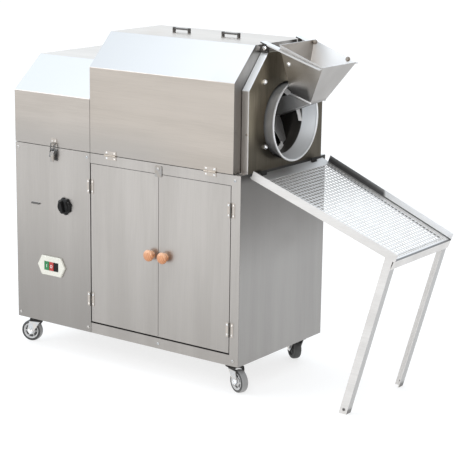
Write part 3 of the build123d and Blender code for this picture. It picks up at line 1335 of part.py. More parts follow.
MAKERS = [base_pan, corner_posts, control_panel, front_frame, left_side_panel, right_side_panel,
          back_panel, deck_plate, partition_wall, drive_bulkhead, end_bulkhead, drum_trough,
          trough_insulation, heater_rods, drum_bearing, roller_axles, gear_motor, drive_belt,
          control_housings, switch_bezel, terminal_box, cable_gland, hopper, hopper_bars, latch_base,
          caster_plates, cabinet_screws, fixed_hinge_leaves, drum_shell, drum_mouth, drum_flights,
          drum_shaft, drum_pulley, motor_pulley, front_support_roller, rear_support_roller, roasting_hood,
          hood_fittings, drive_cover, cover_fittings, latch_lever, latch_bail, left_door, right_door,
          left_knob, right_knob, turn_button, thermostat_knob, start_button, stop_button, tray_frame,
          tray_mesh]

nodes = {maker.__name__: maker() for maker in MAKERS}
for corner in CASTER_HEADINGS:
    nodes[f"{corner}_fork"] = caster_turn(corner) * caster_fork()
    nodes[f"{corner}_wheel"] = caster_turn(corner) * caster_wheel()

reach = Compound([solid for node in nodes.values() for solid in node.solids()]).bounding_box()
ORIGIN = Vector(reach.center().X, reach.center().Y, reach.min.Z)
to_frame = Pos(-ORIGIN.X, -ORIGIN.Y, -ORIGIN.Z)

os.makedirs("parts", exist_ok=True)
for name, node in nodes.items():
    export_step(to_frame * node, f"parts/{name}.step")
print(len(nodes), "nodes, box", reach.size, "origin at", ORIGIN)
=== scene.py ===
# %% [markdown]
# # An electric drum roaster
# The machine arrives from CAD as a fixed frame of solids: cabinet, hood, drum, tray, casters. All of it
# could be modelled again here, but then every size would have to be found twice. So the solids stay, and
# Blender adds what they leave plain: finishes, fasteners, the perforated tray, turned knobs and wheels.

# %% Load the solids
import math
import bmesh
import bpy
from mathutils import Matrix, Vector


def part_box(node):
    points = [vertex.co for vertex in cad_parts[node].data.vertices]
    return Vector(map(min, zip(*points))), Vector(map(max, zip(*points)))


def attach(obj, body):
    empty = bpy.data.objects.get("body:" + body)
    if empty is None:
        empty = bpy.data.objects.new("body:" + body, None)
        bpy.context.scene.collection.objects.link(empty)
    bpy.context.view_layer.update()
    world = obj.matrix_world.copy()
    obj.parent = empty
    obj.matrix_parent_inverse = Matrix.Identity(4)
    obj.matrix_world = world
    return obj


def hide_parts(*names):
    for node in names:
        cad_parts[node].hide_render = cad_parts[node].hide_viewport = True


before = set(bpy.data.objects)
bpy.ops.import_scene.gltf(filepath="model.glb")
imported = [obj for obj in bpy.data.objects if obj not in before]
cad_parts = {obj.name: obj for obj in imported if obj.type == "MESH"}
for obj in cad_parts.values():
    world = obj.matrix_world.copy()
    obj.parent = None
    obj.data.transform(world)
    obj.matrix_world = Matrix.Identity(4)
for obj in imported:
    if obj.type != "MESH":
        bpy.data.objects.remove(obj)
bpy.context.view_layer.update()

# %% [markdown]
# A maker measures this machine from its left end, its front face and the cabinet's underside, in
# millimetres. Blender works in metres about the frame's origin, so two small functions turn the one into
# the other. The three starting edges are read from the solids, so nothing has to be fitted by eye.

# %% Machine millimetres
MM = 0.001
LEFT_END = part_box("left_side_panel")[0].x
FRONT_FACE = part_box("front_frame")[0].y
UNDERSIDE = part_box("left_side_panel")[0].z
START = Vector((LEFT_END, FRONT_FACE, UNDERSIDE))


def at(x, y, z):
    """A point of the machine in millimetres, as a point of the frame in metres."""
    return START + Vector((x, y, z)) * MM


def machine(point):
    """A point of the frame in metres, as a point of the machine in millimetres."""
    return (point - START) / MM


# %% [markdown]
# ## Camera
# The machine is seen from the right, from well back and a little above the hood. A long lens keeps its
# edges almost parallel. The place, the three angles and the focal length could be tried by hand, but they
# were solved from the corners of the cabinet, so they are given as numbers.

# %% Camera
CAMERA_PLACE = (3410.6, -3567.7, 1456.0)
CAMERA_TURN = math.radians(35.455)
CAMERA_DIP = math.radians(13.612)
CAMERA_ROLL = math.radians(0.883)
FOCAL_PIXELS = 1558.28
IMAGE_PIXELS = 474
SENSOR = 36.0
FARTHEST = 200


def put(name, data):
    """A new object in the scene."""
    thing = bpy.data.objects.new(name, data)
    bpy.context.scene.collection.objects.link(thing)
    return thing


camera = put("camera", bpy.data.cameras.new("camera"))
camera.data.sensor_width = SENSOR
camera.data.lens = FOCAL_PIXELS / IMAGE_PIXELS * SENSOR
camera.data.clip_end = FARTHEST
turned = Matrix.Rotation(CAMERA_TURN, 4, "Z")
dipped = Matrix.Rotation(math.pi / 2 - CAMERA_DIP, 4, "X")
rolled = Matrix.Rotation(CAMERA_ROLL, 4, "Z")
camera.matrix_world = Matrix.Translation(at(*CAMERA_PLACE)) @ turned @ dipped @ rolled
bpy.context.scene.camera = camera
print("lens", round(camera.data.lens, 2), "mm")

# %% [markdown]
# ## Shader maths
# A finish is a sum of simple patterns: lines, bands, smudges. Nodes can be wired by hand, but long sums
# are easier to read as Python. This class wraps one output socket; adding, multiplying and so on make the
# Math nodes, and one method makes any other node from its type, settings and inputs.

# %% One socket with arithmetic


class Wire:
    """An output socket of a shader, with Python's arithmetic."""

    def __init__(self, tree, socket):
        self.tree = tree
        self.socket = socket

    def node(self, kind, settings, inputs, out=0):
        """Any node: its type, its settings, its inputs' values or wires, and the output to go on with."""
        made = self.tree.nodes.new("ShaderNode" + kind)
        for key, value in settings.items():
            setattr(made, key, value)
        for key, value in inputs.items():
            feed(self.tree, made.inputs[key], value)
        return Wire(self.tree, made.outputs[out])

    def maths(self, operation, *values):
        return self.node("Math", {"operation": operation}, dict(enumerate(values)))

    def __add__(self, other):
        return self.maths("ADD", self, other)

    def __sub__(self, other):
        return self.maths("SUBTRACT", self, other)

    def __rsub__(self, other):
        return self.maths("SUBTRACT", other, self)

    def __mul__(self, other):
        return self.maths("MULTIPLY", self, other)

    def __pow__(self, other):
        return self.maths("POWER", self, other)

    __radd__ = __add__
    __rmul__ = __mul__

    def most(self, other):
        """The larger of two values."""
        return self.maths("MAXIMUM", self, other)

    def between(self, low, high):
        """A soft step: 0 below low, 1 above high."""
        return self.node("MapRange", {"interpolation_type": "SMOOTHSTEP"},
                         {"Value": self, "From Min": low, "From Max": high})

    def mix(self, first, second):
        """A colour that goes from first to second as this value goes from 0 to 1."""
        return self.node("Mix", {"data_type": "RGBA"}, {0: self, 6: first, 7: second}, out=2)

    def axis(self, name):
        return self.node("SeparateXYZ", {}, {"Vector": self}, out=name)

    def along(self, name, start, end):
        """On the wire of a place: 0 before start and 1 past end along one axis, in machine millimetres."""
        number = "XYZ".index(name)
        return self.axis(name).between(at(start, start, start)[number], at(end, end, end)[number])

    def outward(self):
        """On the wire of a place: the direction that the surface looks in, on the object."""
        return Wire(self.tree, self.socket.node.outputs["Normal"])

    def looks(self, name, low, high):
        """On the wire of a place: a soft step over how far the surface looks along one axis."""
        return self.outward().axis(name).between(low, high)

    def noise(self, scale, stretch=(1, 1, 1), detail=2.0):
        """Cloudy noise with so many spots to the metre, drawn out along the axes with a small stretch."""
        spread = self.node("Mapping", {}, {"Vector": self, "Scale": stretch})
        return self.node("TexNoise", {}, {"Vector": spread, "Scale": scale, "Detail": detail})


def feed(tree, socket, value):
    """Links a wire to a socket, or sets the socket to a plain value."""
    if isinstance(value, Wire):
        tree.links.new(value.socket, socket)
    else:
        socket.default_value = value


print("a wire can:", [name for name in vars(Wire) if not name.startswith("__")])

# %% [markdown]
# Every finish starts the same way: a new material, its Principled shader and the point on the object.
# Object coordinates are metres in the machine's frame, so a pattern has a real scale and follows its
# piece when a door or the hood swings. The solids bring materials of their own, and one can have a finish's
# name, so the finishes are kept in a dictionary.

# %% Starting and closing a finish
FINISHES = {}


def begin(name):
    """A new finish: the material, its shader and the place on the object."""
    finish = bpy.data.materials.new(name)
    FINISHES[name] = finish
    finish.use_nodes = True
    tree = finish.node_tree
    place = Wire(tree, tree.nodes.new("ShaderNodeTexCoord").outputs["Object"])
    return finish, tree.nodes["Principled BSDF"], place


def settle(finish, shader, height=None, **inputs):
    """Feeds the shader's inputs, and turns a height in millimetres into a bump."""
    for key, value in inputs.items():
        feed(finish.node_tree, shader.inputs[key.replace("_", " ")], value)
    if height is not None:
        bump = height.node("Bump", {}, {"Strength": 1.0, "Distance": MM, "Height": height})
        feed(finish.node_tree, shader.inputs["Normal"], bump)


def grey(level, warmth=0.0):
    """A linear colour near grey; warmth takes it towards straw."""
    return (level * (1 + warmth), level, level * (1 - warmth), 1.0)


print("a warm grey:", [round(v, 3) for v in grey(0.44, 0.1)])

# %% [markdown]
# ## Sheet steel
# The cabinet, hood and cover are brushed stainless sheet. Brushing leaves lines of a millimetre or two
# that run one way, the rolling mill leaves faint wide bands, and hands leave smudges that scatter light
# more. One could paint that on an image; here three noises, two of them stretched, give it at any size.

# %% Brushed sheet
# so many lines, bands, smudges and waves go to the metre
LINES, BANDS, SMUDGES, WAVES = 520, 16, 6, 3.2
GRAIN = {"x": (0.02, 1, 1), "z": (1, 1, 0.02)}
# painted shade: the sheet greys towards the floor, fully below the first height, not at all above the second
LOW_SHADE_HEIGHTS = (-11, 529)
LOW_SHADE = grey(0.22, 0.05)
# the black of painted shade
SHADE_BLACK = grey(0.012, 0.1)


def brushed(name, dark, pale, grain, rough, wave=0.8, greying=0.0, metal=1.0, change=None, painted_shade=None,
            frosted=None):
    """Sheet with fine lines along one axis, faint bands, smudges, a slight waviness, and a painted shade that
    greys it towards the floor. A change takes the place and the colour so far and gives another colour. The
    painted shade mask says where the sheet is painted black as shade, and frosted where it scatters light
    more than it mirrors."""
    finish, shader, place = begin(name)
    lines = place.noise(LINES, GRAIN[grain], 3)
    bands = place.noise(BANDS, tuple(4 * s if s < 1 else 1 for s in GRAIN[grain]))
    smudge = place.noise(SMUDGES, detail=4).between(0.5, 0.75)
    tone = (0.4 * lines + 0.6 * bands).between(0.3, 0.7)
    height = 0.012 * lines + wave * place.noise(WAVES, detail=1)
    # painted shade: greyer towards the floor
    shade_towards_floor = greying * (1 - place.along("Z", *LOW_SHADE_HEIGHTS))
    colour = shade_towards_floor.mix(tone.mix(dark, pale), LOW_SHADE)
    if change:
        colour = change(place, colour)
    if frosted:
        metal = metal * (1 - frosted(place))
    # painted shade: black where the mask says
    if painted_shade:
        black = painted_shade(place)
        colour = black.mix(colour, SHADE_BLACK)
        metal = metal * (1 - black)
        rough = rough + 0.4 * black
    settle(finish, shader, height, Metallic=metal, Base_Color=colour,
           Roughness=rough + 0.10 * lines + 0.08 * smudge)


brushed("inner_sheet", grey(0.44, 0.02), grey(0.52, 0.02), "x", 0.38)
print("nodes in a plain sheet:", len(FINISHES["inner_sheet"].node_tree.nodes))

# %% [markdown]
# On the cabinet's front the folds seen through the gaps round the doors are painted black as shade, the
# small louvre's lip is painted dark as the shade under it, and the hinge leaves that belong to the doors are
# plated. Each could have a solid of its own for its finish.
# They stand before or behind the front face, so a mask over the depth tells them apart on one solid.

# %% Cabinet sheets
SIDE_TOP = machine(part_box("right_side_panel")[1]).z
RIGHT_OF_HINGES = (325, 330)
DOORS_MEET = ((571, 574), (587, 590))
BEHIND_FACE = (0.6, 1.2)
LIP_DEPTH = (-1.2, -0.6)
LEAF_DEPTH = (-0.6, -0.2)
KNUCKLE_DEPTH = (-2.4, -1.5)
HOOD_HINGES_FROM = (SIDE_TOP - 30, SIDE_TOP - 25)


def shade_in_the_gaps(place):
    """Painted shade: black on the folds behind the front face, as seen through the gaps round the doors; not
    at the left, and less so between the two."""
    between_doors = 0.8 * place.along("X", *DOORS_MEET[0]) * (1 - place.along("X", *DOORS_MEET[1]))
    looks_back = place.looks("Y", 0.3, 0.6)
    folds = place.along("X", *RIGHT_OF_HINGES) * place.along("Y", *BEHIND_FACE)
    return folds * (1 - between_doors) * (1 - looks_back)


def lip_in_shade(place):
    """The louvre's lip stands off the panel and is painted dark as the shade underneath it."""
    return 0.8 * (1 - place.along("Y", *LIP_DEPTH))


def leaf_plating(place, colour):
    """Hinge leaves stand proud of the door. Their plating is faintly yellow, and the doors' knuckles are
    dark."""
    leaf = place.noise(90, detail=3).mix(grey(0.43, 0.10), grey(0.52, 0.09))
    barrel = place.along("Z", *HOOD_HINGES_FROM).mix(grey(0.10, 0.06), grey(0.36, 0.14))
    knuckle = place.along("Y", *KNUCKLE_DEPTH).mix(barrel, leaf)
    return place.along("Y", *LEAF_DEPTH).mix(knuckle, colour)


brushed("panel_sheet", grey(0.405, 0.06), grey(0.475, 0.055), "z", 0.30, greying=0.66, painted_shade=lip_in_shade)
brushed("frame_sheet", grey(0.415, 0.06), grey(0.485, 0.055), "z", 0.30, greying=0.35, painted_shade=shade_in_the_gaps)
brushed("door_sheet", grey(0.425, 0.06), grey(0.495, 0.055), "z", 0.30, greying=0.37,
        change=leaf_plating, painted_shade=shade_in_the_gaps)
print("the side's top edge is at", round(SIDE_TOP, 1), "mm")

# %% [markdown]
# The hood and the drive cover are warmer in tone than the cabinet. Their slopes are painted paler as light
# from above, their fronts are greyer along the seam, and the hood's end flange is painted dark as shade and
# paler on its slopes. Which way a face looks tells slope from front, so no face has to be picked by hand.

# %% Hood and cover sheets
HOOD_END = machine(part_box("roasting_hood")[1]).x
HOOD_TOP = machine(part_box("roasting_hood")[1]).z
GREYED_UP_TO = (SIDE_TOP, SIDE_TOP + 130)
WARM_FROM = (480, 760)
FLANGE_EDGE = (HOOD_END - 0.9, HOOD_END - 0.5)
FLANGE_SLOPE = (HOOD_TOP - 130, HOOD_TOP - 60)


def lit_slopes(place, colour, level=0.49):
    """Slopes that look up are a little paler, painted light from above. The front is greyer along the seam,
    less so to the right."""
    near_seam = 1 - place.along("Z", *GREYED_UP_TO)
    to_the_left = 1 - 0.9 * place.along("X", *WARM_FROM)
    greyed = (0.85 * near_seam * to_the_left).mix(colour, grey(0.40, 0.06))
    # painted light: faces that look up are paler
    slopes = place.looks("Z", 0.3, 0.4) * (1 - place.looks("Z", 0.9, 1.0))
    return slopes.mix(greyed, grey(level))


def cover_slopes(place, colour):
    """The cover stays cooler than the hood, and its slopes are brighter, painted light."""
    return lit_slopes(place, colour, 0.59)


def end_flange(place, colour):
    """The hood's end flange is painted dark as shade, with streaks, and paler on its slopes as painted light.
    """
    # painted shade on the flange's face, paler up its slopes
    flange_shade = place.along("Z", *FLANGE_SLOPE).mix(grey(0.13, 0.08), grey(0.50, 0.03))
    streaks = (0.5 * place.noise(30, (1, 1, 0.2), 3)).mix(flange_shade, grey(0.24, 0.06))
    return place.along("X", *FLANGE_EDGE).mix(lit_slopes(place, colour), streaks)


brushed("hood_sheet", grey(0.405, 0.11), grey(0.48, 0.105), "x", 0.28, change=end_flange)
brushed("cover_sheet", grey(0.425, 0.095), grey(0.505, 0.09), "x", 0.28, change=cover_slopes)
print("hood ends at", round(HOOD_END, 1), "mm, top at", round(HOOD_TOP, 1), "mm")

# %% [markdown]
# The right side lies under the drum's mouth and the tray. Its sheet is darker than the front's, and darker
# still towards the top, as painted shade under the tray; its top edge under the end box and the tray hooks
# are painted black as shade. The hooks are folded out of the same sheet, so how far they stand out finds
# them.

# %% Right side sheet
END_FACE = machine(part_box("end_bulkhead")[1]).x
SHADED_HEIGHTS = (249, 509)
SHADED_EDGE = (SIDE_TOP - 30, SIDE_TOP - 6)
HOOK_DEPTH = (END_FACE + 0.6, END_FACE + 1.2)


def shade_under_the_tray(place, colour):
    """Painted shade: the side is darker towards the top, under the tray."""
    return (0.8 * place.along("Z", *SHADED_HEIGHTS)).mix(colour, grey(0.15, 0.05))


def shade_on_hooks_and_edge(place):
    """Painted shade: black tray hooks, and black along the side's top edge under the end box."""
    return place.along("X", *HOOK_DEPTH).most(0.85 * place.along("Z", *SHADED_EDGE))


# painted shade: the side's sheet is darker than the front's
brushed("side_sheet", grey(0.325, 0.03), grey(0.37, 0.03), "z", 0.34,
        change=shade_under_the_tray, painted_shade=shade_on_hooks_and_edge)
print("the end face is at", round(END_FACE, 1), "mm")

# %% [markdown]
# The tray's rails, legs and bed are paler sheet with less of a mirror in it. The bed is painted darker
# near the machine as shade, the back rail is smoked up to a sharp line, and the legs' outer flanges and a
# line where the bed meets the back rail are painted as shade. The tray slopes, so a mask over the height
# above its bed, not above the floor, tells rails from legs.

# %% Tray sheets
TRAY_HOOK = (891.0, 234.0, 565.0)
TRAY_SLOPE = math.radians(21.2)
HOOK = at(*TRAY_HOOK)
SMOKE_END = 1124
TRAY_END = 1350.5
BED_SHADE_END = (END_FACE + 110, END_FACE + 250)
DARK_FOOT = (-83, -69)
# metres above the bed: the rails' underside, the dark line of painted shadow, the smoked lip
RAILS_FROM = (-0.035, -0.030)
BED_LINE = (0.0035, 0.006)
RAIL_LIP = (0.010, 0.022)


def over_the_bed(place):
    """Height above the tray's sloping bed, in metres."""
    return place.axis("Z") - HOOK.z + math.tan(TRAY_SLOPE) * (place.axis("X") - HOOK.x)


def worn_rails(place, colour):
    """The legs' outer flanges are duller, as painted shade, and darker at the foot. The back rail is smoked
    near the mouth, bright beyond it, and has a dark line of painted shadow where the bed lies against it."""
    height = over_the_bed(place)
    legs = 1 - height.between(*RAILS_FROM)
    flange = (1 - place.along("Z", *DARK_FOOT)).mix(grey(0.50, 0.01), grey(0.22, 0.02))
    # painted shade: the legs' flanges that look right are duller
    dulled = (legs * place.looks("X", 0.4, 0.6)).mix(colour, flange)
    looks_front = 1 - place.looks("Y", -0.6, -0.4)
    back_rail = place.along("Y", TRAY_HOOK[1], TRAY_HOOK[1] + 10) * looks_front * (1 - legs)
    # painted shadow: a dark line where the bed meets the back rail
    bright = (1 - height.between(*BED_LINE)).mix(grey(0.97, -0.01), grey(0.10, 0.02))
    streaks = place.noise(24, (0.1, 1, 1), 3)
    darkened = (height.between(*RAIL_LIP) * streaks).mix(grey(0.11), grey(0.50))
    beyond = place.along("X", SMOKE_END - 12, SMOKE_END)
    return back_rail.mix(dulled, beyond.mix(darkened, bright))


def shade_by_the_mouth(place, colour):
    """Painted shade: the bed is darker and mottled near the machine, and has a dark line at its outer edge
    where it meets the rail.
    """
    # painted shade near the machine, mottled
    near_the_mouth = 1 - place.along("X", *BED_SHADE_END)
    dust_and_shade = place.noise(40, detail=3).mix(grey(0.34, 0.03), grey(0.43, 0.02))
    shaded_bed = (0.8 * near_the_mouth).mix(colour, dust_and_shade)
    # painted shade: a dark line at the bed's outer edge
    return place.along("X", TRAY_END - 2, TRAY_END).mix(shaded_bed, grey(0.16, 0.02))


brushed("pale_sheet", grey(0.62, 0.03), grey(0.72, 0.025), "x", 0.38, wave=0.2, metal=0.75,
        change=worn_rails)
brushed("bed_sheet", grey(0.62, 0.02), grey(0.71, 0.01), "x", 0.38, wave=0.2, metal=0.7,
        change=shade_by_the_mouth)
print("the tray falls", round(math.degrees(TRAY_SLOPE), 1), "degrees from the hooks")

# %% [markdown]
# The hopper is polished inside by the goods that slide down it. The inside of its back wall is painted near
# white towards the outer end, a painted reflection of the light; the wall by the machine is browned, and the
# throat's outside is painted dark as the shadow of the drum's mouth where it reaches into it. Inner faces
# look up and outer faces look down, which is all that a mask needs.

# %% Hopper sheets
LIT_TOWARDS = (912, 995)
MOUTH_SHADOW_HEIGHTS = (812, 830)
SHORT_OF_RIM = (984, 998)


def looks_up(place):
    """1 on the hopper's inner faces, which lean back and look up."""
    return place.looks("Z", -0.02, 0.05)


def lit_back_wall(place):
    """The inside of the back wall: painted near white, and less of a mirror, towards its outer end, as a
    painted reflection of the light.
    """
    looks_front = 1 - place.looks("Y", -0.6, -0.4)
    return 0.9 * looks_up(place) * looks_front * place.along("X", *LIT_TOWARDS)


def worked_hopper(place, colour):
    """Inner faces are polished, browned by the machine, and painted pale at the back as reflected light.
    Outside, the throat is painted dark as the shadow of the drum's mouth where it reaches into it."""
    looks_right = place.looks("X", 0.3, 0.6)
    outer_wall = (0.5 * looks_right).mix(colour, grey(0.24, 0.03))
    # painted shadow of the drum's mouth on the throat's outside
    mouth_shadow = (1 - place.along("Z", *MOUTH_SHADOW_HEIGHTS)) * (1 - place.along("X", *SHORT_OF_RIM))
    darkened = (0.7 * mouth_shadow).mix(outer_wall, grey(0.05, 0.02))
    polished = place.noise(60, (1, 1, 0.1), 3).mix(grey(0.48, 0.02), grey(0.60))
    browned = looks_right.mix(polished, grey(0.37, 0.09))
    # painted reflection: the back wall's inside near white towards its outer end
    back_lit = lit_back_wall(place).mix(browned, grey(0.97, -0.01))
    return looks_up(place).mix(darkened, back_lit)


def shaded_bracket(place, colour):
    """The bars' uprights on the end box are painted dark as shade; the bars themselves stay bright."""
    upright = 1 - place.looks("Z", 0.3, 0.6)
    on_the_box = 1 - place.along("X", END_FACE - 2, END_FACE)
    return (upright * on_the_box).mix(colour, grey(0.07, 0.06))


brushed("bar_sheet", grey(0.58, 0.01), grey(0.70, 0.01), "x", 0.26, wave=0.2, change=shaded_bracket)
brushed("hopper_sheet", grey(0.46, 0.05), grey(0.58, 0.04), "z", 0.28,
        change=worked_hopper, frosted=lit_back_wall)
print("sheet finishes made:", len(FINISHES))

# %% [markdown]
# The end box gets hot. Its steel has dulled to a brownish grey, a little more so close to the drum's mouth,
# with runs and smoke down the face. It is darker than the front partly as painted shade, and painted darker
# still low down and at the back as shade. The tint could be a ramp over the whole face, but distance from
# the drum's axis says better where the heat is.

# %% Heat-dulled steel
mouth_low, mouth_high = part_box("drum_mouth")
DRUM = (mouth_low + mouth_high) / 2
END_TOP = machine(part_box("end_bulkhead")[1]).z
HEATED_TO = (0.10, 0.21)
SHADED_BELOW = (640, 716)
SHADED_BEHIND = (320, 385)
DULLED = ((0.165, 0.143, 0.103, 1), (0.290, 0.252, 0.190, 1))
STRAW = (0.150, 0.105, 0.062, 1)
END_SHADE = (0.030, 0.026, 0.020, 1)


def from_axis(place):
    """Distance from the drum's axis, in metres."""
    off_y = place.axis("Y") - DRUM.y
    off_z = place.axis("Z") - DRUM.z
    return (off_y * off_y + off_z * off_z) ** 0.5


def heat_dulled(name):
    """Dulled on the end face and the top, with painted shade low down and at the back, and bare sheet on the
    front and the flange. The slopes are painted near white as light from above, and the front's outer edge
    carries a painted highlight."""
    finish, shader, place = begin(name)
    lines = place.noise(480, GRAIN["z"], 3)
    runs = place.noise(26, (1, 1, 0.12), 3)
    smoke = place.noise(9, (1, 1, 0.6), 4).between(0.42, 0.72)
    streaks = (0.5 * lines + 0.5 * runs).between(0.3, 0.7)
    heat = 1 - from_axis(place).between(*HEATED_TO)
    straw = (0.3 * heat * smoke).mix(streaks.mix(*DULLED), STRAW)
    # painted shade: darker low down and at the back of the end face
    end_shade_share = 0.70 * (1 - place.along("Z", *SHADED_BELOW)).most(place.along("Y", *SHADED_BEHIND))
    slope = place.along("Z", END_TOP - 105, END_TOP - 100)
    # painted highlight along the front's outer edge
    edge_highlight = place.along("X", END_FACE - 4.5, END_FACE - 3.5)
    front = edge_highlight.mix(streaks.mix(grey(0.58, 0.07), grey(0.72, 0.06)), grey(0.97, 0.03))
    # painted light: the slopes near white
    bare = slope.mix(front, grey(0.92, -0.02))
    on_face = place.along("X", END_FACE - 0.8, END_FACE - 0.2)
    hot = on_face.most(place.along("Z", END_TOP - 0.8, END_TOP - 0.2))
    settle(finish, shader, 0.02 * lines + 0.5 * place.noise(4, detail=1),
           Metallic=1 - 0.6 * slope * (1 - hot),
           Base_Color=hot.mix(bare, end_shade_share.mix(straw, END_SHADE)),
           Roughness=0.28 + 0.10 * lines + 0.10 * smoke)


heat_dulled("end_sheet")
print("drum axis at", [round(v, 1) for v in machine(DRUM)])

# %% [markdown]
# The drum and its mouth are rolled and then skimmed on a lathe, so their lines run round the axis. A noise
# that only knows the distance from the axis, and the place along it, gives such rings. A stretched noise
# would run straight across a round part instead.

# %% Turned steel
SOOTED = (grey(0.035, 0.10), grey(0.075, 0.08))
STAINED_BELOW = (DRUM.z - 0.12, DRUM.z - 0.01)
FLARE_START = 872


def towards_axis(place):
    """1 on faces that look towards the drum's axis, 0 on those that look away from it."""
    look = place.outward()
    away = (place.axis("Y") - DRUM.y) * look.axis("Y") + (place.axis("Z") - DRUM.z) * look.axis("Z")
    return 1 - away.between(-0.004, 0.0)


def turned_steel(name, outside, inside, rough, metal=(1.0, 1.0), sooted_to=None):
    """Steel with rings about the drum's axis. Its outside and its inside each have two tones, and their own
    share of bare metal. The inside may be sooted up to a place along the axis and stained at the bottom,
    with a rim that is rubbed bright."""
    finish, shader, place = begin(name)
    round_the_axis = place.node("CombineXYZ", {}, {"X": from_axis(place), "Y": place.axis("X")})
    rings = round_the_axis.noise(300, detail=3)
    stain = place.noise(14, detail=4).between(0.45, 0.7)
    tone = (0.6 * rings + 0.4 * stain).between(0.25, 0.75)
    inward = towards_axis(place)
    lining = tone.mix(*inside)
    bare = metal[0] + (metal[1] - metal[0]) * inward
    if sooted_to is not None:
        under = 0.7 * (1 - place.axis("Z").between(*STAINED_BELOW))
        stained = under.mix(lining, grey(0.30, 0.03))
        lining = place.along("X", sooted_to - 3, sooted_to).mix(tone.mix(*SOOTED), stained)
    colour = inward.mix(tone.mix(*outside), lining)
    if sooted_to is not None:
        rim = place.looks("X", 0.6, 0.85)
        colour = rim.mix(colour, grey(0.86))
        bare = rim.most(bare)
    settle(finish, shader, 0.02 * rings, Metallic=bare, Base_Color=colour,
           Roughness=rough + 0.10 * rings + 0.10 * stain)


FLIGHT_TONES = (grey(0.80, 0.02), grey(0.92, 0.01))
SHAFT_TONES = (grey(0.46), grey(0.58))
turned_steel("drum_steel", (grey(0.36, 0.04), grey(0.50, 0.03)), SOOTED, 0.40, (0.9, 0.4))
turned_steel("flight_steel", FLIGHT_TONES, FLIGHT_TONES, 0.38, (0.10, 0.10))
turned_steel("mouth_steel", (grey(0.34), grey(0.44)), (grey(0.90, -0.03), grey(0.97, -0.03)),
             0.36, (0.5, 0.15), FLARE_START)
turned_steel("shaft_steel", SHAFT_TONES, SHAFT_TONES, 0.26)
print("finishes with the rings:", len(FINISHES))

# %% [markdown]
# ## Plating
# Latch, forks and bolts are plated. Plating is brighter and smoother than the sheet, with a faint play of
# blue and straw and some dull spots. A plain mirror would look like chrome, so the roughness is spotted
# too. The front forks are painted dark close to their swivels, as the shade under the cabinet.

# %% Plated parts
FORK_SHADE_FROM = -21


def plated(name, level, rough, browned=0.0, shaded_from=None):
    """Plating of one level, browned by heat if need be, and painted dark as shade above a height."""
    finish, shader, place = begin(name)
    cloud = place.noise(70, detail=3)
    spots = place.noise(420).between(0.55, 0.7)
    tint = cloud.between(0.35, 0.65).mix(grey(level, browned - 0.03), grey(level, browned + 0.05))
    colour = (0.35 * spots).mix(tint, grey(level * (0.6 - browned), 0.02 + browned))
    if shaded_from is not None:
        # painted shade under the cabinet
        colour = place.along("Z", shaded_from - 3, shaded_from).mix(colour, grey(0.03, 0.05))
    settle(finish, shader, 0.01 * spots, Metallic=1.0, Base_Color=colour,
           Roughness=rough + 0.10 * cloud + 0.12 * spots)


plated("zinc_plating", 0.62, 0.24)
plated("fork_plating", 0.62, 0.24, shaded_from=FORK_SHADE_FROM)
plated("bolt_plating", 0.92, 0.24)
plated("dark_plating", 0.18, 0.30)
plated("button_plating", 0.37, 0.30, 0.05)
plated("browned_plating", 0.30, 0.36, 0.12)
print("finishes with the plating:", len(FINISHES))

# %% [markdown]
# The hinge leaves on the cabinet match those on the doors, so they share the doors' mask. One solid holds
# the hood's hinges and its two handles; the handles are dark, and only they stand above the hood's top.

# %% Hinge leaves and handles


def hinge_and_handle(name):
    finish, shader, place = begin(name)
    cloud = place.noise(420)
    handle = place.along("Z", HOOD_TOP - 0.5, HOOD_TOP + 0.5)
    colour = handle.mix(leaf_plating(place, grey(0.44, 0.07)), grey(0.10, 0.02))
    settle(finish, shader, 0.01 * cloud, Metallic=1.0, Base_Color=colour,
           Roughness=0.26 + 0.12 * cloud)


hinge_and_handle("hinge_plating")
print("handles stand above", round(HOOD_TOP, 1), "mm")

# %% [markdown]
# ## Paint, rubber, fibre and plastic
# What isn't bare metal scatters light from inside: castings are grainy, motor paint has a fine orange
# peel, rubber is dusty, the insulation is felted fibre, and mouldings have a fine spark-eroded texture.
# They differ in colour, grain size and gloss, so one function with those as inputs makes them all.

# %% Coated and moulded surfaces
DUST = grey(0.36, 0.06)


def moulded(name, dark, pale, rough, grain, depth, dust_and_shade=0.0, gloss=0.5):
    """A surface that isn't bare metal: its two tones, roughness, grain to the metre, grain depth, dust and
    gloss."""
    finish, shader, place = begin(name)
    fine = place.noise(grain, detail=3)
    broad = place.noise(18, detail=4)
    tone = (0.45 * fine + 0.55 * broad).between(0.3, 0.7).mix(dark, pale)
    greying = dust_and_shade * broad.between(0.45, 0.75)
    settle(finish, shader, depth * fine, Base_Color=greying.mix(tone, DUST), Metallic=0.0,
           Specular_IOR_Level=gloss, Roughness=rough + 0.14 * fine + 0.25 * greying)


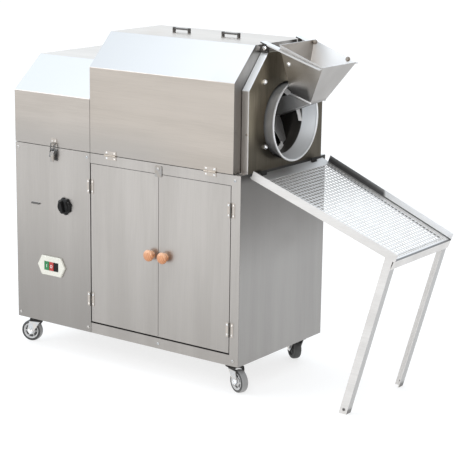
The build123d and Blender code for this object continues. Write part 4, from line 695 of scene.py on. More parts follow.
MOULDINGS = {
    "casting": (grey(0.05), grey(0.085), 0.55, 900, 0.08, 0.15),
    "motor_enamel": ((0.07, 0.095, 0.115, 1), (0.095, 0.125, 0.15, 1), 0.32, 700, 0.02, 0.12),
    "tyre_rubber": (grey(0.04), grey(0.07), 0.42, 1200, 0.015, 0.25),
    "tread_rubber": (grey(0.24), grey(0.32), 0.5, 1200, 0.02, 0.25),
    "belt_rubber": (grey(0.014), grey(0.024), 0.6, 1500, 0.03, 0.2),
    "fibre": ((0.52, 0.49, 0.40, 1), (0.72, 0.69, 0.60, 1), 0.9, 1100, 0.5, 0.1),
    "black_moulding": (grey(0.004), grey(0.008), 0.22, 1600, 0.006, 0, 0.22),
    "hub_moulding": (grey(0.60), grey(0.70), 0.34, 1300, 0.01, 0.1),
    "grey_moulding": (grey(0.20), grey(0.26), 0.42, 1300, 0.01),
    "white_moulding": ((0.66, 0.65, 0.58, 1), (0.72, 0.71, 0.64, 1), 0.30, 1500, 0.005),
    "green_moulding": ((0.012, 0.17, 0.05, 1), (0.02, 0.24, 0.075, 1), 0.25, 1500, 0.005),
    "red_moulding": ((0.42, 0.028, 0.022, 1), (0.54, 0.045, 0.035, 1), 0.25, 1500, 0.005),
    "shaded_moulding": (grey(0.035), grey(0.06), 0.5, 1200, 0.02, 0.1),
    "mark_paint": (grey(0.75), grey(0.85), 0.4, 1500, 0.004),
}
for name, values in MOULDINGS.items():
    moulded(name, *values)
print("finishes so far:", len(FINISHES))

# %% [markdown]
# The door knobs are turned from a pale reddish wood and varnished. Wood is long fibres in rings: a sine
# across the fibre, bent by a slow noise, gives the rings, a noise drawn out along the fibre gives the
# pores, and a clear coat gives the varnish. Faces that look up are painted paler, as light from above.

# %% Varnished wood
WOOD = ((0.44, 0.15, 0.05, 1), (0.64, 0.28, 0.115, 1))
TOP_LIGHT = (0.90, 0.56, 0.36, 1)
PORE = (0.25, 0.09, 0.03, 1)


def varnished_wood(name):
    finish, shader, place = begin(name)
    wander = place.noise(60, (1, 0.3, 1))
    ring = place.axis("X") * 420 + place.axis("Z") * 160 + 2.2 * wander
    stripe = ring.maths("SINE", ring * 2.4)
    pores = place.noise(1500, (1, 0.05, 1)).between(0.55, 0.68)
    grain = (0.5 + 0.35 * stripe + 0.3 * (wander - 0.5)).between(0.05, 0.95)
    # painted light: faces that look up are paler
    rubbed = (0.6 * place.looks("Z", -0.3, 0.8)).mix(grain.mix(*WOOD), TOP_LIGHT)
    settle(finish, shader, 0.02 * pores, Base_Color=(0.4 * pores).mix(rubbed, PORE),
           Roughness=0.36 + 0.15 * pores, Coat_Weight=0.6, Coat_Roughness=0.15)


varnished_wood("knob_wood")
print("finishes in all:", len(FINISHES))

# %% [markdown]
# ## Dressing the solids
# Each solid keeps its shape and gets its finish. A table from finish to nodes is longer than guessing from
# the record's slots, but it lets the right end be duller than the doors, as it looks on the machine: the end
# box partly by heat and partly as painted shade, the right side as painted shade. The caster plates and rear
# forks get dark finishes as painted shade too.

# %% Finishes of the solids
FINISH_OF = {
    "panel_sheet": "control_panel left_side_panel back_panel",
    "frame_sheet": "front_frame",
    "door_sheet": "left_door right_door",
    "hood_sheet": "roasting_hood",
    "cover_sheet": "drive_cover",
    "side_sheet": "right_side_panel",
    "inner_sheet": "base_pan corner_posts deck_plate partition_wall drum_trough",
    "hopper_sheet": "hopper",
    "pale_sheet": "tray_frame",
    "bed_sheet": "tray_mesh",
    "bar_sheet": "hopper_bars",
    "end_sheet": "end_bulkhead",
    "drum_steel": "drum_shell",
    "flight_steel": "drum_flights",
    "mouth_steel": "drum_mouth",
    "shaft_steel": "drum_shaft front_support_roller rear_support_roller heater_rods",
    "bolt_plating": "roller_axles cabinet_screws",
    "button_plating": "turn_button latch_lever",
    # the rear forks stand in the cabinet's shade: their dark plating is painted shade
    "dark_plating": "latch_base latch_bail rear_right_fork rear_left_fork",
    "hinge_plating": "hood_fittings cover_fittings fixed_hinge_leaves",
    "fork_plating": "front_left_fork front_right_fork",
    # the caster plates lie in shade under the cabinet: their dark casting is painted shade
    "casting": "drum_bearing drum_pulley motor_pulley caster_plates",
    "motor_enamel": "gear_motor drive_bulkhead",
    "belt_rubber": "drive_belt",
    "fibre": "trough_insulation",
    "black_moulding": "thermostat_knob control_housings cable_gland",
    "grey_moulding": "terminal_box",
    "white_moulding": "switch_bezel",
    "green_moulding": "start_button",
    "red_moulding": "stop_button",
    "knob_wood": "left_knob right_knob",
    "hub_moulding": "front_left_wheel front_right_wheel rear_right_wheel rear_left_wheel",
}
dressed = set()
for finish, names in FINISH_OF.items():
    for name in names.split():
        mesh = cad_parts[name].data
        mesh.materials.clear()
        mesh.materials.append(FINISHES[finish])
        dressed.add(name)
print("solids without a finish:", sorted(set(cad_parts) - dressed))

# %% [markdown]
# ## Tools for new pieces
# Small parts are built in mesh code. A few helpers carry them: one sets a piece's own axis square to the
# face it sits on, others draw rings of points, skin them and turn outlines like a lathe, and the last makes
# the object, gives it its finishes and lets it ride on the body that carries it.

# %% Rings, skins and lathe work
FRONT, BACK, RIGHT, LEFT, UNDER = (0, -1, 0), (0, 1, 0), (1, 0, 0), (-1, 0, 0), (0, 0, -1)
QUARTERS = ((1, 1), (-1, 1), (-1, -1), (1, -1))


def facing(point, outward, spin=0.0):
    """Millimetres about a point, with the piece's own Z along outward."""
    turn = Vector(outward).to_track_quat("Z", "Y").to_matrix().to_4x4()
    return Matrix.Translation(point) @ turn @ Matrix.Rotation(spin, 4, "Z") @ Matrix.Scale(MM, 4)


def dots(bm, place, points):
    """New points of a mesh, given in millimetres about a place."""
    return [bm.verts.new(place @ Vector(point)) for point in points]


def ring(bm, place, radius, height, steps, lobes=0, wave=0.0):
    """A ring of points about the place's Z axis, wavy if need be, or one point where the radius is 0."""
    angles = [2 * math.pi * step / steps for step in range(steps if radius > 0 else 1)]
    reaches = [radius + wave * math.cos(lobes * angle) for angle in angles]
    return dots(bm, place, [(reach * math.cos(angle), reach * math.sin(angle), height)
                            for angle, reach in zip(angles, reaches)])


def skin(bm, loops, finish=0, capped=False):
    """Joins each loop of points to the next with faces, and closes both ends if capped."""
    faces = []
    for lower, upper in zip(loops, loops[1:]):
        steps = max(len(lower), len(upper))
        for here in range(steps):
            there = (here + 1) % steps
            corners = [lower[here % len(lower)], lower[there % len(lower)],
                       upper[there % len(upper)], upper[here % len(upper)]]
            faces.append(bm.faces.new(list(dict.fromkeys(corners))))
    if capped:
        faces += [bm.faces.new(loops[0][::-1]), bm.faces.new(loops[-1])]
    for face in faces:
        face.material_index = finish


def lathe(bm, place, outline, steps=32, closed=False, finish=0, tread=None, size=(1, 1)):
    """Turns a (radius, height) outline of some size about the place's Z axis and gives its rings. From the
    radius tread outwards it wears the next finish."""
    rings = [ring(bm, place, size[0] * radius, size[1] * height, steps) for radius, height in outline]
    rows = list(zip(outline, outline[1:], rings, rings[1:]))
    if closed:
        rows.append((outline[-1], outline[0], rings[-1], rings[0]))
    for (low_radius, _), (high_radius, _), lower, upper in rows:
        worn = tread is not None and min(low_radius, high_radius) >= tread
        skin(bm, [lower, upper], finish + worn)
    return rings


def block(bm, place, xs, ys, zs, finish=0):
    """A square block between two values on each axis."""
    corners = [(xs[1], ys[1]), (xs[0], ys[1]), (xs[0], ys[0]), (xs[1], ys[0])]
    skin(bm, [dots(bm, place, [(x, y, z) for x, y in corners]) for z in zs], finish, capped=True)


print("facings:", {"front": FRONT, "back": BACK, "right": RIGHT, "left": LEFT, "under": UNDER})

# %% From mesh to riding piece


def add_piece(name, bm, finishes, body, replaced=(), sharp=35):
    """Makes a piece from a mesh, with its finishes, the body it rides on and the solids it stands for."""
    bmesh.ops.recalc_face_normals(bm, faces=bm.faces)
    mesh = bpy.data.meshes.new(name)
    bm.to_mesh(mesh)
    bm.free()
    for finish in finishes:
        mesh.materials.append(FINISHES[finish])
    for polygon in mesh.polygons:
        polygon.use_smooth = True
    mesh.set_sharp_from_angle(angle=math.radians(sharp))
    piece = put(name, mesh)
    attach(piece, body)
    if replaced:
        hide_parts(*replaced)
    print(name, "rides on", body, "with", len(mesh.polygons), "faces")


# %% [markdown]
# ## Perforated tray
# The tray's bed is thin sheet punched with rows of rounded holes, so that chaff falls through. The solid
# has fewer, larger gaps. A texture with alpha would look flat from close by, so the holes are real: each
# cell is a square with a rounded hole, cells share their corners, and the whole net is given its thickness.

# %% Holes and cells
SHEET_LENGTH = (-7.0, 497.0)
SHEET_HALF_WIDTH = 192.0
SHEET_END_HALF_WIDTH = 160.0
SHEET_THICKNESS = 1.5
ROWS, COLUMNS = 34, 23
NET_X = (28.0, 488.0)
NET_Y = (-185.0, 185.0)
HOLE_HALF = (5.3, 6.9)
HOLE_ROUNDING = 3.6
CORNER_STEPS = 3


def hole_loop(cx, cy):
    """Points of a rounded hole, counter-clockwise, three on each corner."""
    points = []
    for quarter, (sx, sy) in enumerate(QUARTERS):
        for step in range(CORNER_STEPS):
            angle = math.pi / 2 * (quarter + step / (CORNER_STEPS - 1))
            points.append((cx + sx * (HOLE_HALF[0] - HOLE_ROUNDING) + HOLE_ROUNDING * math.cos(angle),
                           cy + sy * (HOLE_HALF[1] - HOLE_ROUNDING) + HOLE_ROUNDING * math.sin(angle)))
    return points


def cell_sides(x0, x1, y0, y1):
    """The four faces between a cell's square and its hole."""
    hole = hole_loop((x0 + x1) / 2, (y0 + y1) / 2)
    corners = [(x1, y1), (x0, y1), (x0, y0), (x1, y0)]
    for quarter in range(4):
        start = quarter * CORNER_STEPS + CORNER_STEPS // 2
        span = [hole[(start + step) % len(hole)] for step in range(CORNER_STEPS + 1)]
        yield [corners[quarter], corners[(quarter + 1) % 4]] + span[::-1]


def spaced(span, count):
    return [span[0] + (span[1] - span[0]) * step / count for step in range(count + 1)]


print("holes:", ROWS * COLUMNS)

# %% Punched sheet
SLOT_CENTRES = (-134.0, 134.0)
SLOT_SIZE = (6.3, 32.0)
tray_place = Matrix.Translation(HOOK) @ Matrix.Rotation(TRAY_SLOPE, 4, "Y") @ Matrix.Scale(MM, 4)


def narrowed(x):
    """The tray's width at x down the slope, as a share of its width at the hooks."""
    return 1 - (1 - SHEET_END_HALF_WIDTH / SHEET_HALF_WIDTH) * x / SHEET_LENGTH[1]


def hook_end(xs, half):
    """The plain end by the machine, with its two slots for the hooks: the faces, and the cuts across it."""
    slot_ys = [y + side * SLOT_SIZE[1] / 2 for y in SLOT_CENTRES for side in (-1, 1)]
    cuts = [-half] + slot_ys + [half]
    faces = []
    for row, (x0, x1) in enumerate(zip(xs, xs[1:])):
        for column, (y0, y1) in enumerate(zip(cuts, cuts[1:])):
            if not (row == 1 and column in (1, 3)):
                faces.append([(x0, y0), (x1, y0), (x1, y1), (x0, y1)])
    return faces, cuts


def punched_sheet():
    """The net, the plain end by the machine and the border, given a thickness and laid on the slope."""
    xs, ys = spaced(NET_X, ROWS), spaced(NET_Y, COLUMNS)
    faces = [side for x0, x1 in zip(xs, xs[1:]) for y0, y1 in zip(ys, ys[1:])
             for side in cell_sides(x0, x1, y0, y1)]
    low, high = SHEET_LENGTH
    half = SHEET_HALF_WIDTH
    levels = [low, -SLOT_SIZE[0] / 2, SLOT_SIZE[0] / 2, SLOT_SIZE[0]]
    plain, cuts = hook_end(levels, half)
    first, last = xs[0], xs[-1]
    faces += plain
    faces.append([(levels[-1], y) for y in cuts[::-1]] + [(first, y) for y in [-half] + ys + [half]])
    faces.append([(last, y) for y in [half] + ys[::-1] + [-half]] + [(high, -half), (high, half)])
    faces.append([(first, half)] + [(x, ys[-1]) for x in xs] + [(last, half)])
    faces.append([(last, -half)] + [(x, ys[0]) for x in xs[::-1]] + [(first, -half)])
    bm = bmesh.new()
    known = {}
    for face in faces:
        keys = [(round(x, 4), round(y, 4)) for x, y in face]
        for key, (x, y) in zip(keys, face):
            if key not in known:
                known[key] = bm.verts.new((x, y * narrowed(x), 0))
        bm.faces.new([known[key] for key in keys])
    bmesh.ops.recalc_face_normals(bm, faces=bm.faces)
    grown = bmesh.ops.extrude_face_region(bm, geom=bm.faces[:])
    raised = [item for item in grown["geom"] if isinstance(item, bmesh.types.BMVert)]
    bmesh.ops.translate(bm, verts=raised, vec=(0, 0, SHEET_THICKNESS))
    bmesh.ops.transform(bm, matrix=tray_place, verts=bm.verts)
    return bm


add_piece("tray_punched_sheet", punched_sheet(), ["bed_sheet"], "tray", ["tray_mesh"])

# %% [markdown]
# ## Casters
# A caster wheel is a grey hub with a black tyre pressed on. The solids are plain rings. Both are turned
# outlines, so a lathe makes them: the tyre with a crowned tread and a step in its wall, the hub with a
# dished web, a boss and a rim. Six ribs let one see the wheel roll.

# %% Outlines of hub and tyre
WHEEL_RADIUS = 35.0
RIM_RADIUS = 26.0
BORE_RADIUS = 4.1
TREAD_FROM = 32.5
TYRE_SIDE = [(RIM_RADIUS, 11.6), (28.7, 11.9), (29.4, 11.2), (31.4, 11.4), (33.0, 10.2), (34.3, 7.6),
             (34.8, 4.0)]
TYRE = [(r, -z) for r, z in TYRE_SIDE] + [(WHEEL_RADIUS, 0)] + TYRE_SIDE[::-1]
HUB_SIDE = [(BORE_RADIUS, 12.0), (10.5, 12.0), (12.0, 11.0), (12.6, 8.4), (14.0, 7.2), (20.4, 7.2),
            (22.4, 8.4), (23.4, 11.4), (24.9, 11.9), (RIM_RADIUS, 11.0)]
HUB = [(r, -z) for r, z in HUB_SIDE] + HUB_SIDE[::-1]
WEB_SHADE_DISC = [(13.4, -7.6), (21.6, -7.6), (21.6, 7.6), (13.4, 7.6)]
RIBS = 6
RIB_HALF = 1.1
RIB_SPAN = (12.0, 23.2)
RIB_HEIGHTS = (7.0, 9.6)
print("wheels of", 2 * WHEEL_RADIUS, "mm")

# %% Caster wheels
# the way each wheel rolls, in degrees from the right
HEADING = {"front_left": 196.0, "front_right": -21.0, "rear_right": 147.0, "rear_left": 152.0}


def wheel_axle(corner):
    """The middle of a wheel and the way its axle points."""
    low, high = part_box(corner + "_wheel")
    heading = math.radians(HEADING[corner])
    return (low + high) / 2, Vector((-math.sin(heading), math.cos(heading), 0))


def tyred_wheel(place):
    bm = bmesh.new()
    lathe(bm, place, HUB, 48, closed=True)
    # painted shade: a dark disc lies in the hub's dished web
    lathe(bm, place, WEB_SHADE_DISC, 48, closed=True, finish=1)
    for rib in range(RIBS):
        turn = place @ Matrix.Rotation(2 * math.pi * rib / RIBS, 4, "Z")
        for side in (-1, 1):
            block(bm, turn, RIB_SPAN, (-RIB_HALF, RIB_HALF), sorted(side * z for z in RIB_HEIGHTS))
    lathe(bm, place, TYRE, 64, closed=True, finish=1, tread=TREAD_FROM)
    return bm


# the rear wheels stand in the cabinet's shade and are painted dark all over with the shaded moulding
for corner in HEADING:
    shaded = ["shaded_moulding"] * 3
    wheel_finishes = shaded if "rear" in corner else ["hub_moulding", "tyre_rubber", "tread_rubber"]
    add_piece(corner + "_tyred_wheel", tyred_wheel(facing(*wheel_axle(corner))), wheel_finishes,
              corner + "_roll", [corner + "_wheel"])

# %% [markdown]
# ## Fasteners
# Screws and bolts are what the eye uses to judge the size of a machine. A disc would do from afar, but the
# heads here have their shape: pan heads with a cross recess, hexagons with a chamfer, capped nuts. Each is
# a small outline, turned, and the recess is a plus-shaped well bridged to the dome.

# %% Heads of screws, bolts and nuts
# outlines, as shares of a head's radius and height
DOME = [(1, 0), (1, 0.25), (0.9, 0.68), (0.72, 0.9)]
WASHER = [(0, 0), (1.35, 0), (1.35, 0.2), (0, 0.2)]
HEXAGON = [(0, 0.2), (1, 0.2), (1, 0.85), (0.86, 1), (0, 1)]
NUT = [(0, 0), (1, 0), (1, 0.4), (0.88, 0.48), (0, 0.48)]
ARC = [math.pi / 2 * step / 5 for step in range(5)]
CAP = [(0, 0.4), (0.74, 0.4)] + [(0.74 * math.cos(a), 0.5 + 0.5 * math.sin(a)) for a in ARC] + [(0, 1)]
ROUND_STEPS, CAP_STEPS, HEX_STEPS = 24, 20, 6


def cross_head(bm, place, radius, height):
    """A pan head with a cross recess."""
    rings = lathe(bm, place, DOME, ROUND_STEPS, size=(radius, height))
    bm.faces.new(rings[0][::-1])
    arm, half = 0.52 * radius, 0.15 * radius
    arm_end = [(arm, -half), (arm, half), (half, half)]
    cross = []
    for quarter in range(4):
        cross += arm_end
        arm_end = [(-y, x) for x, y in arm_end]
    upper = dots(bm, place, [(x, y, height) for x, y in cross])
    lower = dots(bm, place, [(0.8 * x, 0.8 * y, 0.35 * height) for x, y in cross])
    skin(bm, [upper, lower])
    bm.faces.new(lower[::-1])
    edges = [bm.edges.get((loop[i - 1], loop[i])) for loop in (rings[-1], upper) for i in range(len(loop))]
    bmesh.ops.bridge_loops(bm, edges=edges)


def hex_head(bm, place, *size):
    """A hexagon head with a chamfered top on a round washer."""
    lathe(bm, place, WASHER, ROUND_STEPS, size=size)
    lathe(bm, place, HEXAGON, HEX_STEPS, size=size)


def cap_nut(bm, place, *size):
    """A hexagon nut with a domed cap."""
    lathe(bm, place, NUT, HEX_STEPS, size=size)
    lathe(bm, place, CAP, CAP_STEPS, size=size)


def fasten(name, finish, body, *groups, replaced=()):
    """A piece of many heads. A group is a kind of head, its size, and its spots: a point of the machine, the
    way it faces and its spin."""
    bm = bmesh.new()
    for head, size, spots in groups:
        for point, outward, spin in spots:
            head(bm, facing(at(*point), outward, spin), *size)
    add_piece(name, bm, [finish], body, replaced)


def front_and_back(x, ys, z, spin=0):
    """A spot on the front of a part and one on its back."""
    return [((x, ys[0], z), FRONT, spin), ((x, ys[1], z), BACK, spin)]


print("heads:", cross_head.__name__, hex_head.__name__, cap_nut.__name__)

# %% [markdown]
# Cross screws hold the panels to the corner posts: along the front, the back and the left end. No two
# stop at the same turn on a real machine, so each is spun a little further than the one before.

# %% Screws of the panels
PANEL_SCREW = (4.5, 2.4)
ROWS_OF_SCREWS = LOW, HIGH = 15.6, 559.4
FRONT_SCREWS = [(12, LOW), (12, HIGH), (299, LOW), (299, HIGH), (580.25, LOW), (861, LOW), (861, HIGH)]
PIVOT_SCREW = (580.25, -2.8, 559.5)
BACK_SCREWS_X = (12.0, 155.0, 440.0, 654.0, 868.0)
LEFT_SCREWS_Y = (16.0, 225.0, 434.0)
DEPTH = 450.0

spots = [((x, 0, z), FRONT, 0.7 * index) for index, (x, z) in enumerate(FRONT_SCREWS)]
spots.append((PIVOT_SCREW, FRONT, 0.3))
fasten("cabinet_cross_screws", "zinc_plating", "cabinet", (cross_head, PANEL_SCREW, spots),
       replaced=["cabinet_screws"])

spots = []
for z in ROWS_OF_SCREWS:
    spots += [((x, DEPTH, z), BACK, 0.9 * index) for index, x in enumerate(BACK_SCREWS_X)]
    spots += [((0, y, z), LEFT, 1.3 * index) for index, y in enumerate(LEFT_SCREWS_Y)]
fasten("panel_screws", "zinc_plating", "cabinet", (cross_head, PANEL_SCREW, spots))

# %% [markdown]
# A butt hinge has two screws in each leaf. One leaf stays on the cabinet and the other moves with its door,
# hood or cover, so the screws are sorted by the body that carries them, and each body gets one piece.

# %% Screws of the hinges
HINGE_SCREW = (3.0, 1.3)
LEAF_FACE = 1.2
LEAF_MIDDLE = 8.2
SCREW_SPREAD = 15.0
SEAM = 576.0
HINGE_INSET = 72.0
LEFT_HINGE, RIGHT_HINGE = 312.5, 848.0
door_low, door_high = [machine(corner).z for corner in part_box("left_door")]
DOOR_HINGE_HEIGHTS = (door_low + HINGE_INSET, door_high - HINGE_INSET)
HOOD_HINGES = (394.5, 771.5)
COVER_HINGES = (70.0, 241.0)

hinge_spots = {"cabinet": [], "left_leaf": [], "right_leaf": [], "hood": [], "cover": []}


def leaf_screws(x, z, outward, aside, above, fixed, moving):
    """A screw in the fixed leaf and one in the moving leaf, to either side of the hinge's pin."""
    y = -LEAF_FACE if outward == FRONT else DEPTH + LEAF_FACE
    hinge_spots[fixed].append(((x - aside, y, z - above), outward))
    hinge_spots[moving].append(((x + aside, y, z + above), outward))


for spread in (-SCREW_SPREAD, SCREW_SPREAD):
    for z in DOOR_HINGE_HEIGHTS:
        leaf_screws(LEFT_HINGE, z + spread, FRONT, LEAF_MIDDLE, 0, "cabinet", "left_leaf")
        leaf_screws(RIGHT_HINGE, z + spread, FRONT, -LEAF_MIDDLE, 0, "cabinet", "right_leaf")
    for x in HOOD_HINGES:
        leaf_screws(x + spread, SEAM, FRONT, 0, LEAF_MIDDLE, "cabinet", "hood")
    for x in COVER_HINGES:
        leaf_screws(x + spread, SEAM, BACK, 0, LEAF_MIDDLE, "cabinet", "cover")

for body, spots in hinge_spots.items():
    spun = [(point, outward, 1.1 * index) for index, (point, outward) in enumerate(spots)]
    fasten("hinge_screws_" + body, "bolt_plating", body, (cross_head, HINGE_SCREW, spun))

# %% [markdown]
# ## Wooden knobs
# Two mushroom-shaped knobs open the doors. They are turned on a lathe in life and here: one outline from
# the foot on the door, through a narrow neck, to a full rounded head.

# %% Turned knobs
KNOB_OUTLINE = [(0, 0), (12.5, 0), (12.8, 1.0), (12.2, 3.0), (12.0, 5.5), (12.8, 8.0), (15.0, 10.2),
                (17.2, 12.4), (18.0, 15.0), (17.6, 17.8), (16.2, 20.4), (13.6, 22.8), (9.6, 24.3),
                (5.0, 24.9), (0, 25.0)]
KNOBS = {"left": 554.25, "right": 606.25}
KNOB_Z = 292.0
for side, x in KNOBS.items():
    bm = bmesh.new()
    lathe(bm, facing(at(x, 0, KNOB_Z), FRONT), KNOB_OUTLINE, 40)
    add_piece(side + "_turned_knob", bm, ["knob_wood"], side + "_leaf", [side + "_knob"], sharp=60)

# %% [markdown]
# ## Thermostat dial
# The dial is a black moulding with a lobed skirt, a round shoulder and a raised bar to grip. The skirt's
# edge waves in and out eight times; a radius that follows a cosine draws that in one ring after another.

# %% Lobed dial
DIAL = (207.0, 0.0, 393.0)
DIAL_TURN = math.radians(14)
DIAL_LOBES = 8
DIAL_STEPS = 96
# rings of the dial: radius, depth of the lobes, height off the panel
DIAL_RINGS = [(0, 0, 0.4), (25.5, 1.4, 0.4), (26.6, 1.6, 1.2), (26.8, 1.7, 4.0), (25.9, 1.6, 5.6),
              (22.4, 0.9, 7.2), (21.0, 0.4, 9.0), (20.4, 0.2, 12.4), (19.2, 0, 14.0), (0, 0, 14.6)]
# layers of the bar: half its width, its reach, height off the panel
BAR_LAYERS = [(6.4, 20.0, 12.0), (5.6, 19.6, 16.0), (5.0, 19.0, 20.6), (4.1, 18.0, 22.2)]
BAR_STEPS = 8
SPINDLE = [(0, -26.0), (3.0, -26.0), (3.0, 0.6), (0, 0.6)]


def grip_bar(bm, place):
    """A bar with rounded ends: a long oval that narrows as it rises."""
    angles = [math.pi * step / BAR_STEPS - math.pi / 2 for step in range(BAR_STEPS + 1)]
    loops = []
    for half, reach, height in BAR_LAYERS:
        end = [(-half * math.sin(angle), reach - half + half * math.cos(angle)) for angle in angles]
        loops.append(dots(bm, place, [(way * x, way * y, height) for way in (1, -1) for x, y in end]))
    skin(bm, loops, capped=True)


bm = bmesh.new()
dial_place = facing(at(*DIAL), FRONT, DIAL_TURN)
skin(bm, [ring(bm, dial_place, radius, height, DIAL_STEPS, DIAL_LOBES, wave)
          for radius, wave, height in DIAL_RINGS])
grip_bar(bm, dial_place)
lathe(bm, dial_place, SPINDLE, 24)
add_piece("thermostat_lobed_dial", bm, ["black_moulding"], "dial", ["thermostat_knob"])

# %% [markdown]
# ## Switch keys
# A green key with a bar and a red key with a ring, the usual marks for on and off. Each key has rounded
# edges and a slightly hollow face for the finger. The marks stand a hair proud, as pad printing does.

# %% Keys with their marks
KEYS = {"start": ("green_moulding", "green_plastic"), "stop": ("red_moulding", "red_plastic")}
# edge and face of a key: how far in from its outline, how far off its highest line
KEY_LAYERS = [(0.0, -1.6), (0.5, -0.5), (1.5, 0.0), (3.6, -0.35), (6.0, -0.6)]
MARK_DEPTH = (-0.9, -0.3)
BAR_MARK = (0.9, 5.0)
RING_MARK = (4.8, 3.2)


def key_cap(bm, place, half_x, half_z, depth):
    """A key with rounded edges and a hollow face; the place's Z points out of the face."""
    skin(bm, [dots(bm, place, [(sx * (half_x - inset), sz * (half_z - inset), height) for sx, sz in QUARTERS])
              for inset, height in [(0.0, -depth)] + KEY_LAYERS], capped=True)


def ring_mark(bm, place):
    outer, inner = RING_MARK
    low, high = MARK_DEPTH
    lathe(bm, place, [(inner, low), (outer, low), (outer, high), (inner, high)], 28, closed=True, finish=1)


def bar_mark(bm, place):
    half_x, half_z = BAR_MARK
    block(bm, place, (-half_x, half_x), (-half_z, half_z), MARK_DEPTH, finish=1)


for name, (finish, slot) in KEYS.items():
    low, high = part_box(name + "_button")
    size = (high - low) / MM
    bm = bmesh.new()
    key_place = facing(Vector(((low.x + high.x) / 2, low.y, (low.z + high.z) / 2)), FRONT)
    key_cap(bm, key_place, size.x / 2, size.z / 2, size.y)
    mark = bar_mark if name == "start" else ring_mark
    mark(bm, key_place)
    add_piece(name + "_marked_key", bm, [finish, "mark_paint"], name + "_key", [name + "_button"],
              sharp=25)

# %% [markdown]
# ## Bolts of the end box and hopper
# Capped nuts close the end box, a screw holds each of its flanges, and hexagon bolts hold the hopper to its
# bars. The hopper's front wall leans, so its bolts lean too: three corners of that wall give its normal,
# and the back wall is its mirror image.

# %% Nuts and screws of the end box
END_NUT = (8.0, 11.0)
END_NUTS = [(108.0, 836.0), (342.0, 836.0)]
FLANGE_SCREW = (3.6, 2.0)
FLANGE_SCREWS = front_and_back(873.0, (36.0, 424.0), 690.0, 0.5)
spots = [((END_FACE, y, z), RIGHT, 0.4) for y, z in END_NUTS]
fasten("end_box_nuts", "bolt_plating", "cabinet", (cap_nut, END_NUT, spots))
fasten("end_box_screws", "browned_plating", "cabinet", (cross_head, FLANGE_SCREW, FLANGE_SCREWS))

# %% The hopper's leaning walls
RIM_IN = Vector((913.0, 134.0, 943.0))
RIM_OUT = Vector((1062.0, 134.0, 889.0))
THROAT_IN = Vector((922.0, 187.0, 796.0))
THROAT_OUT = (991.0, 776.0)
WALL_SHEET = 1.5
AXIS_Y = 225.0
wall_normal = (THROAT_IN - RIM_IN).cross(RIM_OUT - RIM_IN).normalized()


def on_front_wall(x, z):
    """A point on the outside of the hopper's front wall."""
    y = RIM_IN.y - (wall_normal.x * (x - RIM_IN.x) + wall_normal.z * (z - RIM_IN.z)) / wall_normal.y
    return Vector((x, y, z))


def on_back_wall(x, z):
    """A point on the outside of the hopper's back wall."""
    front = on_front_wall(x, z)
    return Vector((front.x, 2 * AXIS_Y - front.y, front.z))


print("the front wall looks", [round(v, 2) for v in wall_normal])

# %% Bolts of the hopper
WALL_BOLT = (5.0, 4.5)
WALL_BOLT_PLACE = (934.0, 887.0)
BAR_BOLT = (4.6, 4.5)
BAR_BOLTS = front_and_back(864.0, (130.0, 320.0), 930.0)
RIM_BOLT = (5.4, 5.5)
RIM_BOLTS = [(919.0, 936.0), (1034.0, 895.0)]
back_normal = Vector((wall_normal.x, -wall_normal.y, wall_normal.z))
spots = [(on_front_wall(*WALL_BOLT_PLACE), wall_normal, 0), (on_back_wall(*WALL_BOLT_PLACE), back_normal, 0)]
fasten("hopper_bolts", "bolt_plating", "cabinet", (hex_head, WALL_BOLT, spots),
       (hex_head, BAR_BOLT, BAR_BOLTS))

spots = [(on_back_wall(x, z) - WALL_SHEET * back_normal, -back_normal, 0) for x, z in RIM_BOLTS]
fasten("hopper_rim_bolts", "browned_plating", "cabinet", (hex_head, RIM_BOLT, spots))

# %% [markdown]
# The throat's side edges are rolled over a wire so that they don't cut. A rolled hem is a thin rod with
# rounded ends along the edge, so an outline as long as the edge is turned about it.

# %% Rolled hem of the throat
HEM_RADIUS = 3.6
HEM_END = ((0, 2.0), (0.7 * HEM_RADIUS, 1.6))
bm = bmesh.new()
for wall in (on_front_wall, on_back_wall):
    start, end = wall(THROAT_IN.x, THROAT_IN.z), wall(*THROAT_OUT)
    reach = (end - start).length
    hem = [(r, -z) for r, z in HEM_END] + [(HEM_RADIUS, 0), (HEM_RADIUS, reach)]
    hem += [(r, reach + z) for r, z in HEM_END[::-1]]
    lathe(bm, facing(at(*start), end - start), hem, 20)
add_piece("throat_hem", bm, ["bar_sheet"], "cabinet")

# %% [markdown]
# Four bolts hold each caster's plate to the pan, and a nut closes each end of its axle. The plates are
# square to the cabinet, but a caster swivels: its nuts follow the way its wheel heads and ride on its fork.

# %% Bolts of the casters
CASTER_PLACES = [(50, 50), (830, 50), (830, 400), (50, 400)]
PLATE_BOLT = (4.5, 4.0)
PLATE_UNDER = -3.0
BOLT_OFFSET = 28.0
AXLE_NUT = (6.4, 5.0)
AXLE_FACE = 17.0
spots = [((x + sx * BOLT_OFFSET, y + sy * BOLT_OFFSET, PLATE_UNDER), UNDER, 0)
         for x, y in CASTER_PLACES for sx in (-1, 1) for sy in (-1, 1)]
fasten("caster_plate_bolts", "bolt_plating", "cabinet", (hex_head, PLATE_BOLT, spots))

for corner in HEADING:
    middle, axle = wheel_axle(corner)
    spots = [(machine(middle) + axle * (side * AXLE_FACE), axle * side, 0) for side in (-1, 1)]
    fasten(corner + "_axle_nuts", "bolt_plating", corner + "_swivel", (hex_head, AXLE_NUT, spots))

# %% [markdown]
# Two last fasteners: a dark screw at the foot of each of the tray's legs, and two rivets that hold the
# latch's keeper to the cover. Rivets are turned domes without a recess.

# %% Screws of the legs and rivets of the latch
FOOT_SCREW = (4.6, 2.4)
FOOT_SCREWS = front_and_back(1206.1, (70.55, 397.45), -77.0, 0.6)
RIVET = [(0, 0), (2.4, 0), (2.2, 0.7), (1.5, 1.2), (0, 1.4)]
RIVETS = [((159.0, -1.5, 595.0), FRONT, 0), ((171.0, -1.5, 595.0), FRONT, 0)]


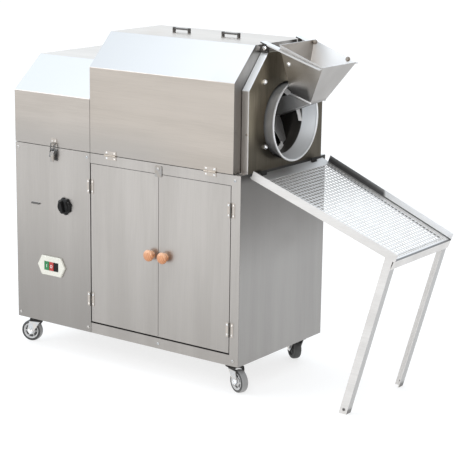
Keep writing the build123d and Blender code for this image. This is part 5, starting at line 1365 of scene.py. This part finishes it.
def rivet_head(bm, place):
    lathe(bm, place, RIVET, 20)


fasten("leg_foot_screws", "dark_plating", "tray", (cross_head, FOOT_SCREW, FOOT_SCREWS))
fasten("latch_rivets", "bolt_plating", "cover", (rivet_head, (), RIVETS))

# %% [markdown]
# ## Floor and light
# The machine stands in a pale room. The floor is a large plain sheet; the sky is bright overhead, to the
# left and behind, greyer in front and to the right, and pale along the horizon, as in a studio with one
# long window and a pale wall. A single lamp would throw hard shadows, so the light is that sky and three
# broad soft panels.

# %% Floor
FLOOR_HALF = 40.0
bm = bmesh.new()
bmesh.ops.create_grid(bm, x_segments=4, y_segments=4, size=FLOOR_HALF)
floor_mesh = bpy.data.meshes.new("floor")
bm.to_mesh(floor_mesh)
bm.free()
floor = put("floor", floor_mesh)
floor_finish, floor_shader, floor_place = begin("pale_floor")
settle(floor_finish, floor_shader, Base_Color=floor_place.noise(2).mix(grey(0.30), grey(0.32)),
       Roughness=0.9, Emission_Color=grey(1.0), Emission_Strength=0.70)
floor_mesh.materials.append(floor_finish)
print("floor", 2 * FLOOR_HALF, "m across")

# %% Sky
GLOW_WAY = (-0.64, 0.34, 0.69)
GLOW_FROM = (0.10, 0.75)
DUSK, GLOW = grey(0.34), (1.46, 1.58, 1.70, 1)
PALE_WALL = grey(0.80)
WALL_TOP = (0.09, 0.15)
world = bpy.data.worlds.new("studio")
bpy.context.scene.world = world
world.use_nodes = True
sky = Wire(world.node_tree, world.node_tree.nodes.new("ShaderNodeTexCoord").outputs["Generated"])
towards = sum(share * sky.axis(name) for share, name in zip(GLOW_WAY, "XYZ"))
dome = towards.between(*GLOW_FROM).mix(DUSK, GLOW)
light = sky.axis("Z").between(*WALL_TOP).mix(PALE_WALL, dome)
feed(world.node_tree, world.node_tree.nodes["Background"].inputs["Color"], light)
print("the sky glows towards", GLOW_WAY)

# %% Soft panels
# where each panel hangs, what it lights, its size in metres and its power in watts
PANELS = {"top_panel": ((300, -600, 3100), (500, 225, 400), 3.0, 22.0),
          "left_panel": ((-1900, -2700, 2000), (600, 225, 600), 1.8, 32.0),
          "right_panel": ((2600, -2700, 2100), (930, 225, 750), 1.5, 45.0)}
for name, (place, aim, size, power) in PANELS.items():
    lamp = bpy.data.lights.new(name, "AREA")
    lamp.shape = "SQUARE"
    lamp.size = size
    lamp.energy = power
    holder = put(name, lamp)
    holder.location = at(*place)
    holder.rotation_euler = (at(*aim) - at(*place)).to_track_quat("-Z", "Y").to_euler()
view = bpy.context.scene.view_settings
view.view_transform = "Standard"
view.exposure = 0.0
print("panels:", list(PANELS))

# %% [markdown]
# ## Sizes
# The dressed machine has to stay the size that CAD gave it.
